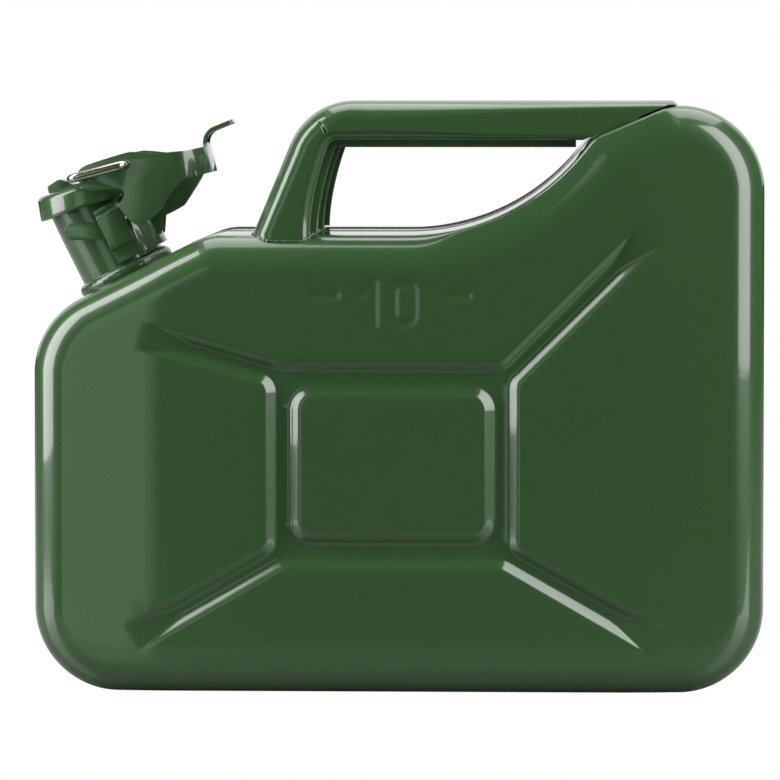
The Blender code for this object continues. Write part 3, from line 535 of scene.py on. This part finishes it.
def face_points(boundary, rear):
    """Points over the face, close together only where it bends."""
    step, spare = 0.9, 1.3
    low, high = boundary.min(0), boundary.max(0)
    columns = np.arange(low[0], high[0], step)
    rows = np.arange(low[1], high[1], step)
    grid = np.stack(np.meshgrid(columns, rows), -1).reshape(-1, 2)
    grid = grid[-signed_distance(grid, boundary) > 0.8]
    groove = np.abs(signed_distance(grid, GROOVE) + WALL / 2) < WALL / 2 + spare
    panel = np.abs(signed_distance(grid, CENTRE_PANEL) - WALL / 2) < WALL / 2 + spare
    figures = stroke_distance(grid, rear) < STROKE_HALF + STROKE_SLOPE + 1.1
    crease = (np.abs(grid[:, 0] - CREASES[0]) < 6) | (np.abs(grid[:, 0] - CREASES[1]) < 6)
    column, row = np.round((grid - low) / step).astype(int).T
    coarse = (column % 8 == 0) & (row % 8 == 0)
    middle = crease & (column % 2 == 0) & (row % 8 == 0)
    return grid[groove | panel | figures | coarse | middle]


def moved_outline(corners, distance):
    """The can's outline moved inwards, with the same number of points at every distance."""
    first = rounded(corners, 2.5)
    ring = rounded(inset(corners, distance), 2.5)
    lengths = np.linalg.norm(np.roll(first, -1, axis=0) - first, axis=1)
    cuts = [max(1, math.ceil(length / 6)) for length in lengths]
    pairs = zip(ring, np.roll(ring, -1, axis=0), cuts)
    return np.array([a + (b - a) * k / count for a, b, count in pairs for k in range(count)])


# Where the edge along the saddle is drawn tighter, and the lengths over which this fades in
SADDLE_LEFT, SADDLE_RIGHT, SADDLE_LOW = 8.0, 133.0, 150.0
LEFT_FADE, RIGHT_FADE, LOW_FADE = 26.0, 10.0, 30.0


def edge_ring(corners, angle):
    """The outline where the edge has turned by an angle in degrees, and its depth behind the face.

    Along the saddle the edge is drawn tighter: a wide round up to a small angle, and then a narrow one.
    """
    narrow, change = 3.0, math.radians(28)
    wide = (EDGE_RADIUS - narrow * (1 - math.sin(change))) / math.sin(change)
    turn = math.radians(angle)
    if turn < change:
        into, back = EDGE_RADIUS - wide * math.sin(turn), wide * (1 - math.cos(turn))
    else:
        into = narrow * (1 - math.sin(turn))
        back = wide * (1 - math.cos(change)) + narrow * (math.cos(change) - math.cos(turn))
    even_into, even_back = EDGE_RADIUS * (1 - math.sin(turn)), EDGE_RADIUS * (1 - math.cos(turn))
    ring = moved_outline(corners, even_into)
    run = np.roll(ring, -1, axis=0) - np.roll(ring, 1, axis=0)
    outward = np.stack((run[:, 1], -run[:, 0]), -1) / np.linalg.norm(run, axis=1)[:, None]
    x, z = ring[:, 0], ring[:, 1]
    from_left = np.clip((x - SADDLE_LEFT) / LEFT_FADE, 0, 1)
    from_right = np.clip((SADDLE_RIGHT - x) / RIGHT_FADE, 0, 1)
    from_below = np.clip((z - SADDLE_LOW) / LOW_FADE, 0, 1)
    share = smooth(from_left * from_right * from_below)
    return ring + outward * ((even_into - into) * share)[:, None], even_back + (back - even_back) * share


EDGE_STEPS = 18

# Distance of the inner skin behind the face and its rounded edge
INNER_GAP = 12.0

# Distance into the can and from its middle plane, down the wall, into the seam and back up the inner skin
WALL_PROFILE = [
    (0, 12.0), (0, 9.2), (0.12, 8.5), (0.7, 7.9), (2.3, 5.9), (2.85, 5.3), (SEAM_DEPTH, 4.6),
    (SEAM_DEPTH, 0.15), (SEAM_DEPTH + SHEET, 0.15), (SEAM_DEPTH + SHEET, 5.0), (SHEET, 8.4),
    (SHEET, HALF_DEPTH - EDGE_RADIUS - INNER_GAP), (EDGE_RADIUS, HALF_DEPTH - PRESS - INNER_GAP),
]


def build_shell(name, side, cad):
    """One half of the can: a pressed face, a rounded edge, the side wall and the seam's recess."""
    corners = body_corners()
    rings = [edge_ring(corners, 90 * k / EDGE_STEPS) for k in range(EDGE_STEPS + 1)]
    outline = rings[0][0]
    count = len(outline)
    points = [Vector(point) for point in (*outline, *face_points(outline, side > 0))]
    edges = [(i, (i + 1) % count) for i in range(count)]
    flat, _, faces, _, _, _ = delaunay_2d_cdt(points, edges, [], 1, 1e-5)
    flat = np.array([tuple(point) for point in flat])
    vertices = [(x, HALF_DEPTH - drop, z) for (x, z), drop in zip(flat, face_drop(flat, side > 0))]
    rows = []
    for ring, back in rings[1:]:
        drops = face_drop(ring, side > 0)
        rows.append([(x, HALF_DEPTH - drop - behind, z) for (x, z), drop, behind in zip(ring, drops, back)])
    rows += [[(x, y, z) for x, z in moved_outline(corners, into)] for into, y in WALL_PROFILE]
    quads = [tuple(face) for face in faces]
    last = range(count)
    for row in rows:
        following = range(len(vertices), len(vertices) + count)
        for i in range(count):
            j = (i + 1) % count
            quads.append((last[i], last[j], following[j], following[i]))
        vertices += row
        last = following
    quads.append(tuple(reversed(last)))
    mesh = bpy.data.meshes.new(name)
    mesh.from_pydata([in_place(x, side * y, z) for x, y, z in vertices], [], quads)
    bm = bmesh.new()
    bm.from_mesh(mesh)
    bmesh.ops.recalc_face_normals(bm, faces=bm.faces)
    bm.to_mesh(mesh)
    bm.free()
    piece = add_piece(name, mesh, PAINT, "can", (cad,))
    add_hole(piece, NECK_RADIUS + 0.25, 22, 96, NECK_FRAME)
    apply_modifiers(piece)
    finish_mesh(piece.data, 32)


# Lofts, turned pieces and beads

def loft(rings, loop=False, bm=None):
    """A skin through rings with the same number of points, joined in a loop or capped at its ends."""
    bm = bm or bmesh.new()
    rows = [[bm.verts.new(point) for point in ring] for ring in rings]
    count = len(rows[0])
    pairs = list(zip(rows, rows[1:])) + ([(rows[-1], rows[0])] if loop else [])
    for row, following in pairs:
        for i in range(count):
            j = (i + 1) % count
            bm.faces.new((row[i], row[j], following[j], following[i]))
    if not loop:
        bm.faces.new(list(reversed(rows[0])))
        bm.faces.new(rows[-1])
    return bm


def rounded_run(corners, radii, steps):
    """An open path with its corners rounded, and points at given shares of each arc."""
    path = [Vector(corners[0])]
    for before, corner, after, radius in zip(corners, corners[1:], corners[2:], radii):
        corner = Vector(corner)
        back = (Vector(before) - corner).normalized()
        on = (Vector(after) - corner).normalized()
        half_turn = (math.pi - back.angle(on)) / 2
        reach = radius * math.tan(half_turn)
        centre = corner + (back + on).normalized() * radius / math.cos(half_turn)
        first = (corner + back * reach - centre).normalized()
        last = (corner + on * reach - centre).normalized()
        path += [centre + first.slerp(last, share) * radius for share in steps]
    path.append(Vector(corners[-1]))
    return path


def even(count):
    """Even shares from 0 to 1."""
    return [k / count for k in range(count + 1)]


def circle(radius, height, sides):
    """A level ring of points around the z axis."""
    angles = [2 * math.pi * k / sides for k in range(sides)]
    return [Vector((radius * math.cos(a) * MM, radius * math.sin(a) * MM, height * MM)) for a in angles]


def turned(profile, place, sides):
    """A turned mesh from (radius, height) points."""
    rings = [circle(max(radius, 0.001), height, sides) for radius, height in profile]
    mesh = mesh_from(loft(rings), "turned", place)
    finish_mesh(mesh, 40)
    return mesh


def arc(centre, radius, first, last, steps):
    """Points of an arc between two angles in degrees."""
    angles = [math.radians(first + (last - first) * k / steps) for k in range(steps + 1)]
    return [(centre[0] + radius * math.cos(a), centre[1] + radius * math.sin(a)) for a in angles]


def ripple(run, pitch):
    """Uneven waves of a hand weld along its run, from -1 to 1."""
    slow = math.sin(2 * math.pi * run / (pitch * 2.7) + 1.3)
    return 0.62 * math.sin(2 * math.pi * run / pitch) + 0.38 * slow


def bead(name, points, radius, normal, pitch, swell, tall):
    """A closed weld bead along a flat path, with ripples, and taller or lower than a round one."""
    path = []
    for a, b in zip(points, points[1:] + points[:1]):
        cuts = max(1, math.ceil((b - a).length / 0.55))
        path += [a.lerp(b, k / cuts) for k in range(cuts)]
    normal = Vector(normal)
    sides = 10
    rings, run = [], 0.0
    for i, point in enumerate(path):
        following = path[(i + 1) % len(path)]
        side = normal.cross((following - path[i - 1]).normalized())
        size = radius * (1 - swell + swell * ripple(run, pitch))
        ring = []
        for k in range(sides):
            angle = 2 * math.pi * k / sides
            out = side * math.cos(angle) + normal * math.sin(angle) * tall
            ring.append(in_place(*(point + out * size)))
        rings.append(ring)
        run += (following - point).length
    mesh = mesh_from(loft(rings, loop=True), name)
    finish_mesh(mesh, 60)
    return mesh


def build_seam_weld():
    """The bead that runs round the can in the seam's recess."""
    path = [Vector((x, 0, z)) for x, z in rounded(inset(body_corners(), 1.75), 2.5)]
    mesh = bead("seam_bead", path, 1.35, (0, 1, 0), 2.6, 0.16, 1.5)
    add_piece("seam_bead", mesh, WELD, "can", ("seam_weld",))


# Handles

HANDLE_HALF = 14.0
HANDLE_SPACING = 61.0
HANDLE_SLIT = 0.8
HANDLE_TOP = CREST + 2.4
BAR_HEIGHT = 18.7
BAR_LOW = HANDLE_TOP - BAR_HEIGHT
FOOT_LEFT = -LENGTH / 2 + 104.0
FOOT_RIGHT = FOOT_LEFT + 27.1

# How far the post's outer and inner edges lean, and the radius that each turns into the bar with
OUTER_LEAN, OUTER_ROUND = 25.9, 33.0
INNER_LEAN, INNER_ROUND = 9.4, 4.8

# The share of the post's height below the inner turn, and its stations
POST_SHARE, POST_STEPS = 0.88, 14

# Height of the top sheet's hem above the belly, and depth of the mitre notch in the sides
HEM = 4.7
NOTCH = 1.15


def saddle_at(z):
    """X of the slope that the handles end on, a slit above it, at height z."""
    _, _, _, (top_x, top_z, _), (edge_x, edge_z, _) = body_corners()[:5]
    slope = (top_z - edge_z) / (top_x - edge_x)
    return edge_x + (z - HANDLE_SLIT / math.cos(math.atan(slope)) - edge_z) / slope


def handle_run():
    """Outer point, inner point and depth of the mitre notch at each station of a handle."""
    base = LOW_TOP + HANDLE_SLIT
    steps = sorted(even(20) + [0.46, 0.485, 0.515, 0.54])
    outer_foot, inner_foot = Vector((FOOT_LEFT, 0, base)), Vector((FOOT_RIGHT, 0, base))
    outer_corner = Vector((FOOT_LEFT + OUTER_LEAN, 0, HANDLE_TOP))
    inner_corner = Vector((FOOT_RIGHT + INNER_LEAN, 0, BAR_LOW))
    outer_end, inner_end = (Vector((saddle_at(z), 0, z)) for z in (HANDLE_TOP, BAR_LOW))

    def on_post(share):
        lean = (inner_corner.x - inner_foot.x) * share ** 1.75
        return Vector((inner_foot.x + lean, 0, base + (BAR_LOW - base) * share))

    outer = rounded_run([outer_foot, outer_corner, outer_end], [OUTER_ROUND], steps)
    inner = rounded_run([on_post(POST_SHARE), inner_corner, inner_end], [INNER_ROUND], steps)
    run = []
    for k in range(POST_STEPS):
        on_inner = on_post(POST_SHARE * k / POST_STEPS)
        run.append((outer_foot.lerp(outer[1], k / POST_STEPS), on_inner, 0.0))
    for share, a, b in zip(steps, outer[1:-1], inner[1:-1]):
        run.append((a, b, max(0.0, 1 - abs(share - 0.5) / 0.045)))
    square = outer[-2].x + BAR_HEIGHT * 0.4
    for share in even(8)[:-1] + [0.984, 1.0]:
        top, low = square + (outer_end.x - square) * share, square + (inner_end.x - square) * share
        run.append((Vector((top, 0, HANDLE_TOP)), Vector((low, 0, BAR_LOW)), 0.0))
    return run


def handle_section(height, notch):
    """Section as (across, up): the rolled top sheet closed over the narrower belly sheet."""
    half = HANDLE_HALF
    side = arc((half - 5.8, 5.1), 5.1, -90, -12, 9)
    side += [(half - 0.80, 4.34), (half - 0.34, 4.20), (half - 0.08, 4.36), (half, HEM)]
    corner, reach = 7.5, 55
    edge = half - corner + corner * math.cos(math.radians(reach))
    bow = edge / math.sin(math.radians(90 - reach))
    crown = bow * (1 - math.sin(math.radians(reach)))
    upper = height - crown - corner * math.sin(math.radians(reach))
    for share, deep in ((0.10, 0.75), (0.35, 1.0), (0.65, 1.0), (0.90, 0.8)):
        side.append((half - NOTCH * notch * deep, HEM + (upper - HEM) * share))
    for k, (across, up) in enumerate(arc((half - corner, upper), corner, 0, reach, 9)):
        side.append((across - NOTCH * notch * max(0, 1 - k / 7), up))
    side += arc((0, height - bow), bow, reach, 90, 8)[1:]
    return side + [(-across, up) for across, up in reversed(side)]


def handle_rings(y):
    """Rings of points along a handle, from a foot that follows the can's rounded edge to its nose."""
    rings = []
    for outer, inner, notch in handle_run():
        up = (outer - inner).normalized()
        section = handle_section((outer - inner).length, notch)
        rings.append([inner + up * rise + Vector((0, y + across, 0)) for across, rise in section])
    foot = []
    for point in rings[0]:
        over = max(0.0, abs(point.y) - (HALF_DEPTH - EDGE_RADIUS))
        height = LOW_TOP - EDGE_RADIUS + math.sqrt(EDGE_RADIUS ** 2 - over ** 2)
        foot.append(Vector((point.x, point.y, height)))
    nose = [Vector((point.x, point.y, min(point.z, CREST + 0.35))) for point in rings[-1]]
    return [foot] + rings[:-1] + [nose]


def lip_section():
    """Section of the folded lip under the bar, as (across, out)."""
    side = [(1.3, -0.6), (1.3, 1.2), (1.3, 2.5), (1.18, 2.98), (0.86, 3.30), (0.40, 3.40), (0.10, 3.22)]
    return side + [(-across, out) for across, out in reversed(side)]


def build_handle(name, y, cad):
    """A handle with its lip, which ends just short of the saddle, and the bead around its foot."""
    rings = handle_rings(y)
    bm = loft([[in_place(*point) for point in ring] for ring in rings])
    path = [inner for _, inner, _ in handle_run()]
    end = path[-1] - Vector((3.0, 0, 0))
    path = [point for point in path[:-1] if point.x < end.x] + [end]
    lip = []
    for i, point in enumerate(path):
        run = path[min(i + 1, len(path) - 1)] - path[max(i - 1, 0)]
        into = Vector((run.z, 0, -run.x)).normalized()
        ring = [point + into * out + Vector((0, y + across, 0)) for across, out in lip_section()]
        lip.append([in_place(*corner) for corner in ring])
    loft(lip, bm=bm)
    mesh = mesh_from(bm, name)
    finish_mesh(mesh, 38)
    add_piece(name, mesh, PAINT, "can", (cad,))
    weld = bead(name + "_weld", rings[0], 1.15, (0, 0, 1), 2.1, 0.20, 1.0)
    add_piece(name + "_weld", weld, WELD, "can")


# Neck, pins and lid

def build_neck():
    """The tube, which bends from the neck's frame to the mouth's, with its rolled rim."""
    tube = [(NECK_RADIUS, height) for height in (-6.0, 2.0, 12.0, 22.0, 31.0)]
    rim = [(NECK_RADIUS, -1.0), (NECK_RADIUS, 1.2), (21.4, 1.9)] + arc((22.3, 3.5), 1.5, -80, 90, 10)
    rim += arc((21.3, 3.5), 1.5, 90, 180, 6) + [(NECK_BORE, 2.0), (NECK_BORE, -2.0)]
    bore = [(NECK_BORE, height) for height in (30.0, 12.0, -6.0)]
    rings = []
    for place, profile in ((NECK_FRAME, tube), (MOUTH_FRAME, rim), (NECK_FRAME, bore)):
        rings += [[place @ point for point in circle(radius, height, 96)] for radius, height in profile]
    mesh = mesh_from(loft(rings, loop=True), "neck")
    finish_mesh(mesh, 40)
    add_piece("neck", mesh, FITTING_PAINT, "can", ("neck_tube",))


def build_neck_weld():
    """The weld around the neck's foot: a turned fillet with ripples on its outer side."""
    rings = []
    sides, step = 200, 0.69
    for radius, height in [(21.3, 0.3), (21.3, 5.6)] + arc((20.6, 1.9), 3.7, 76, -25, 12):
        ring = []
        for k in range(sides):
            angle = 2 * math.pi * k / sides
            wave = 0.08 * ripple(k * step, 3.1) if radius > 21.5 else 0
            out = min(radius + wave - 0.1, 24.5)
            ring.append((out * math.cos(angle) * MM, out * math.sin(angle) * MM, height * MM))
        rings.append(ring)
    mesh = mesh_from(loft(rings, loop=True), "neck_weld", NECK_FRAME)
    finish_mesh(mesh, 60)
    add_piece("neck_weld", mesh, WELD, "can", ("neck_collar",))


def pin_frame(place, pin):
    """A frame at a pin, with its z axis along the pin."""
    along, up = pin
    return place @ Matrix.Translation((along * MM, 0, up * MM)) @ Matrix.Rotation(math.radians(-90), 4, "X")


def build_pin(name, half, place, material, body, cad):
    """A pin with a domed head at each end."""
    head = [(0.0, 1.2), (1.2, 1.14), (2.1, 0.94), (2.7, 0.62), (2.95, 0.30), (3.0, 0.0)]
    shank = 1.8
    profile = [(radius, half + rise) for radius, rise in head] + [(shank, half), (shank, -half)]
    profile += [(radius, -half - rise) for radius, rise in reversed(head)]
    add_piece(name, turned(profile, place, 40), material, body, (cad,))


def build_lid():
    """The turned cap, whose skirt reaches lower on the side away from the hinge."""
    profile = [(0.0, 9.5), (17.0, 9.5)] + arc((22.6, 6.5), 3.0, 90, 6, 10)
    profile += [(LID_RADIUS, 1.6), (LID_RADIUS, 0.6), (26.05, 0.18), (25.7, 0.0), (25.2, 0.2), (25.0, 0.8)]
    profile += [(25.0, 8.3), (0.0, 8.3)]
    mesh = turned(profile, Matrix.Identity(4), 128)
    rim, lower = 1.7 * MM, 2.6 * MM
    for vertex in mesh.vertices:
        if vertex.co.z < rim:
            vertex.co.z -= lower * min(1.0, max(0.0, -vertex.co.x / (LID_RADIUS * MM)))
    mesh.transform(MOUTH_FRAME)
    add_piece("lid", mesh, FITTING_PAINT, "lid", ("lid_cap",))


# Lever and bail

LEVER_HALF = 30.3
LEVER_SHEET = 1.9
LEVER_BEND = 18.0
BEND_LENGTH = math.pi / 2 * LEVER_BEND
WEB_HALF = LEVER_HALF - LEVER_BEND
WEB_ALONG = 61.3
WEB_LOW, WEB_HIGH = 1.1, 13.7
TAB_HALF, TAB_RISE, TAB_BEND, TAB_FLAT = 11.0, 0.4, 7.2, 9.5
TAB_START = WEB_HIGH + TAB_RISE
TAB_ANGLE = math.radians(82)

# The cheeks' edge as (along, up) in the mouth's frame, from the web's top round to the lower edges
CHEEK = [
    (52.7, 13.9), (44.2, 15.1), (38.3, 16.0), (32.7, 18.0), (27.4, 19.7), (23.2, 21.0), (15.1, 20.4),
    (7.2, 19.6), (2.5, 18.9), (0.5, 17.6), (-0.6, 15.0), (-0.5, 11.8), (0.1, 9.4), (1.8, 7.3), (5.2, 5.6),
    (14.2, 4.7), (17.9, 4.2), (19.6, 2.1), (19.1, 0.1), (16.9, -2.4), (14.8, -3.5), (17.9, -10.4),
    (21.2, -15.3), (23.8, -15.9),
]

# The two cheeks differ along their lower edges
NEAR_EDGE = [(31.0, -13.0), (34.7, -10.6), (38.7, -6.3), (42.8, -2.4), (46.0, -0.9), (50.4, WEB_LOW)]
FAR_EDGE = [(27.0, -15.0), (40.6, -12.0), (43.0, -9.8), (52.4, -1.0), (54.4, WEB_LOW)]


def smooth_outline(points):
    """The same outline with every corner cut twice, so that it runs in soft bends."""
    for _ in range(2):
        cut = [points[0]]
        for a, b in zip(points, points[1:]):
            cut += [tuple(p + (q - p) * share for p, q in zip(a, b)) for share in (0.25, 0.75)]
        points = cut + [points[-1]]
    return points


def lever_pattern():
    """Flat pattern of the lever as (distance from the middle of the web, height)."""
    start = WEB_HALF + BEND_LENGTH + WEB_ALONG - LEVER_BEND
    tab_top = TAB_START + TAB_BEND * TAB_ANGLE + TAB_FLAT
    tab = arc((TAB_HALF - 2.0, tab_top - 2.0), 2.0, 90, 0, 5)
    tab += arc((TAB_HALF + 2.0, WEB_HIGH + 2.0), 2.0, 180, 270, 4)
    near, far = (tab + [(start - along, up) for along, up in smooth_outline(CHEEK + edge)]
                 for edge in (NEAR_EDGE, FAR_EDGE))
    return [(-across, up) for across, up in near] + [(across, up) for across, up in reversed(far)]


def fold(across, up):
    """Place of a point of the flat pattern on the folded lever."""
    distance = abs(across)
    along, side = WEB_ALONG, distance
    if distance > WEB_HALF + BEND_LENGTH:
        along, side = WEB_ALONG - LEVER_BEND - (distance - WEB_HALF - BEND_LENGTH), LEVER_HALF
    elif distance > WEB_HALF:
        angle = (distance - WEB_HALF) / LEVER_BEND
        along = WEB_ALONG - LEVER_BEND * (1 - math.cos(angle))
        side = WEB_HALF + LEVER_BEND * math.sin(angle)
    if up > TAB_START:
        angle = min((up - TAB_START) / TAB_BEND, TAB_ANGLE)
        rest = up - TAB_START - angle * TAB_BEND
        along += TAB_BEND * (1 - math.cos(angle)) + rest * math.sin(angle)
        up = TAB_START + TAB_BEND * math.sin(angle) + rest * math.cos(angle)
    return Vector((along, math.copysign(side, across), up)) * MM


def build_lever():
    """The flat pattern, cut where it bends, folded, thickened and drilled."""
    bm = bmesh.new()
    bm.faces.new([bm.verts.new((across, up, 0)) for across, up in lever_pattern()])
    cuts = []
    for side in (-1, 1):
        cuts += [((side * (WEB_HALF + BEND_LENGTH * share), 0, 0), (1, 0, 0)) for share in even(16)]
    cuts += [((0, TAB_START + TAB_BEND * TAB_ANGLE * share, 0), (0, 1, 0)) for share in even(12)]
    for point, normal in cuts:
        everything = list(bm.verts) + list(bm.edges) + list(bm.faces)
        bmesh.ops.bisect_plane(bm, geom=everything, plane_co=point, plane_no=normal, dist=1e-4)
    for vertex in bm.verts:
        vertex.co = fold(vertex.co.x, vertex.co.y)
    mesh = mesh_from(bm, "clamp_lever", MOUTH_FRAME)
    piece = add_piece("clamp_lever", mesh, FITTING_PAINT, "lever", ("lever",))
    sheet = piece.modifiers.new("sheet", "SOLIDIFY")
    sheet.thickness = LEVER_SHEET * MM
    sheet.offset = 0
    sheet.use_even_offset = True
    for pin, radius in ((LEVER_PIN, 2.1), (BAIL_PIVOT, 2.4)):
        add_hole(piece, radius, 60, 40, pin_frame(MOUTH_FRAME, pin))
    apply_modifiers(piece)
    bevel_edges(piece, 0.45, 35.0)


def build_bail():
    """Bent round wire, from one cheek's pivot over the catch to the other's."""
    tip, leg, wire = 28.7, 35.6, 2.1
    along, up = BAIL_PIVOT
    corners = [(along, -tip, up), (along, -leg, up), (-3.8, -leg, 14.2)]
    corners += [(x, -y, z) for x, y, z in reversed(corners)]
    path = rounded_run(corners, [4.5] * 4, even(12))
    curve = bpy.data.curves.new("bail", "CURVE")
    curve.dimensions = "3D"
    curve.bevel_depth = wire * MM
    curve.bevel_resolution = 6
    curve.use_fill_caps = True
    spline = curve.splines.new("POLY")
    spline.points.add(len(path) - 1)
    for knot, point in zip(spline.points, path):
        knot.co = (*(point * MM), 1)
    guide = bpy.data.objects.new("bail", curve)
    bpy.context.scene.collection.objects.link(guide)
    bpy.context.view_layer.update()
    mesh = bpy.data.meshes.new_from_object(guide.evaluated_get(bpy.context.evaluated_depsgraph_get()))
    bpy.data.objects.remove(guide)
    mesh.transform(MOUTH_FRAME)
    finish_mesh(mesh, 50)
    add_piece("wire_bail", mesh, ZINC, "bail", ("locking_bail",))


build_shell("shell_front", -1, "body_half_front")
build_shell("shell_rear", 1, "body_half_rear")
build_seam_weld()
build_handle("handle_1", -HANDLE_SPACING, "handle_front")
build_handle("handle_2", 0.0, "handle_middle")
build_handle("handle_3", HANDLE_SPACING, "handle_rear")
build_neck()
build_neck_weld()
softened("hinge_bracket", "bracket", "can", 0.4)
build_pin("hinge_rod", 14.7, pin_frame(NECK_FRAME, HINGE_PIN), ZINC, "can", "hinge_pin")
for side in ("front", "rear"):
    softened("neck_strap_" + side, "strap_" + side, "can", 0.5)
    softened("neck_lug_" + side, "lug_" + side, "can", 0.6)
build_lid()
softened("lid_bridge", "bridge", "lid", 0.4)
LEVER_PIN_PLACE = pin_frame(MOUTH_FRAME, LEVER_PIN)
build_pin("lever_rod", 31.4, LEVER_PIN_PLACE, FITTING_PAINT, "lid", "lever_pin")
build_lever()
build_bail()


# Floor, lights and camera

def floor_material():
    """Grey to light and reflections; the camera sees it mostly white, with the shadow faintly in it."""
    material, tree, shader = new_material("floor")
    shader.inputs["Base Color"].default_value = (0.30, 0.30, 0.30, 1)
    shader.inputs["Roughness"].default_value = 0.16
    shader.inputs["IOR"].default_value = 1.6
    bright = node(tree, "ShaderNodeEmission")
    bright.inputs["Strength"].default_value = 1.045
    path = node(tree, "ShaderNodeLightPath")
    share = node(tree, "ShaderNodeMath", operation="MULTIPLY")
    share.inputs[1].default_value = 0.95
    tree.links.new(path.outputs["Is Camera Ray"], share.inputs[0])
    both = node(tree, "ShaderNodeMixShader")
    output = tree.nodes["Material Output"]
    tree.links.new(share.outputs[0], both.inputs[0])
    tree.links.new(shader.outputs[0], both.inputs[1])
    tree.links.new(bright.outputs[0], both.inputs[2])
    tree.links.new(both.outputs[0], output.inputs["Surface"])
    return material


def build_floor():
    """A table top that ends a little way in front of the can."""
    left, right, front, back = -1.6, 1.6, -0.25, 1.9
    bm = bmesh.new()
    corners = ((left, front, 0), (right, front, 0), (right, back, 0), (left, back, 0))
    bm.faces.new([bm.verts.new(corner) for corner in corners])
    mesh = mesh_from(bm, "floor")
    floor = bpy.data.objects.new("floor", mesh)
    floor.location = (0, 0, -0.0004)
    bpy.context.scene.collection.objects.link(floor)
    mesh.materials.append(floor_material())


def build_world():
    """White to the camera and through clear things, and faint light on the object."""
    world = bpy.data.worlds.new("studio")
    bpy.context.scene.world = world
    world.use_nodes = True
    tree = world.node_tree
    background = tree.nodes["Background"]
    path = node(tree, "ShaderNodeLightPath")
    sight = node(tree, "ShaderNodeMath", operation="MAXIMUM")
    tree.links.new(path.outputs["Is Camera Ray"], sight.inputs[0])
    tree.links.new(path.outputs["Is Transmission Ray"], sight.inputs[1])
    strength = ramp(tree, sight.outputs[0], 0, 1, 0.06, 1.0)
    background.inputs["Color"].default_value = (1, 1, 1, 1)
    tree.links.new(strength, background.inputs["Strength"])


def area(name, place, target, size, power, colour=(1, 1, 1)):
    """A soft box of a width and height, turned to its target."""
    light = bpy.data.lights.new(name, "AREA")
    light.shape = "RECTANGLE"
    light.size, light.size_y = size
    light.energy = power
    light.color = colour
    lamp = bpy.data.objects.new(name, light)
    bpy.context.scene.collection.objects.link(lamp)
    lamp.location = place
    lamp.rotation_euler = (Vector(target) - Vector(place)).to_track_quat("-Z", "Y").to_euler()


def card(name, corners, strength):
    """A flat studio card that only reflections and bounced light see."""
    bm = bmesh.new()
    bm.faces.new([bm.verts.new(corner) for corner in corners])
    mesh = mesh_from(bm, name)
    item = bpy.data.objects.new(name, mesh)
    bpy.context.scene.collection.objects.link(item)
    material, tree, shader = new_material(name)
    tree.nodes.remove(shader)
    glow = node(tree, "ShaderNodeEmission")
    glow.inputs["Strength"].default_value = strength
    tree.links.new(glow.outputs[0], tree.nodes["Material Output"].inputs["Surface"])
    mesh.materials.append(material)
    item.visible_camera = False
    item.visible_shadow = False


def build_backdrop():
    """A wall behind the can that reflections see: dark at its foot and bright above."""
    far, wide = 3.0, 3.0
    cards = (("backdrop_low", -0.0003, 0.28, 0.0), ("backdrop_high", 0.28, 3.2, 0.85))
    for name, low, high, strength in cards:
        card(name, [(-wide, far, low), (wide, far, low), (wide, far, high), (-wide, far, high)], strength)


def build_lights():
    """Big boxes to the left, to the right and above, and a faintly green one at the front left."""
    area("left_box", (-0.95, -0.26, 0.875), (-0.17, -0.26, 0.875), (0.56, 1.67), 18)
    area("right_box", (1.27, -0.75, 1.125), (0.16, -0.08, 1.125), (0.90, 2.12), 30)
    area("top_box", (0.25, 0.55, 1.9), (0.25, 0.4, 0.2), (2.1, 1.7), 27)
    # The box at the front left ends in three dimmer strips, so that its reflection fades out
    strips = (("front_left", -0.10, 0.80, 3.9), ("front_left_b", 0.335, 0.07, 0.24),
              ("front_left_c", 0.405, 0.07, 0.16), ("front_left_d", 0.475, 0.07, 0.08))
    ahead, across = Vector((1.0, 2.6, 0)), Vector((2.6, -1.0, 0)).normalized()
    for name, shift, width, power in strips:
        place = Vector((-1.10, -2.6, 0.40)) + across * shift
        area(name, place, place + ahead, (width, 1.8), power, (0.76, 1, 0.80))


# The photograph's side in pixels, and the millimetres that a pixel covers at the can's face
PICTURE_SIDE = 780
PIXEL = 0.4664


def build_camera():
    """The photograph's view, from a little above: half of the way down to its middle is tilt, half shift."""
    data = bpy.data.cameras.new("camera")
    camera = bpy.data.objects.new("camera", data)
    bpy.context.scene.collection.objects.link(camera)
    distance, face = 1.85, -HALF_DEPTH * MM
    place = Vector((0.0565, face - distance, 0.275))
    middle = Vector((-0.0002, face, 0.1442))
    target = middle + Vector((0, 0, (place.z - middle.z) * 0.5))
    camera.location = place
    camera.rotation_euler = (target - place).to_track_quat("-Z", "Y").to_euler()
    frame_width = PICTURE_SIDE * PIXEL * MM
    data.sensor_width = 36.0
    data.lens = data.sensor_width * distance / frame_width
    data.shift_y = -(target.z - middle.z) / frame_width
    data.clip_end = 30
    bpy.context.scene.camera = camera


build_floor()
build_backdrop()
build_world()
build_lights()
build_camera()
bpy.context.scene.view_settings.view_transform = "Standard"

# These two CAD nodes are shown as they are, in their own materials
for name, material in (("breather_tube", ZINC), ("lid_gasket", RUBBER)):
    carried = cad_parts[name]
    carried.data.materials.clear()
    carried.data.materials.append(material)
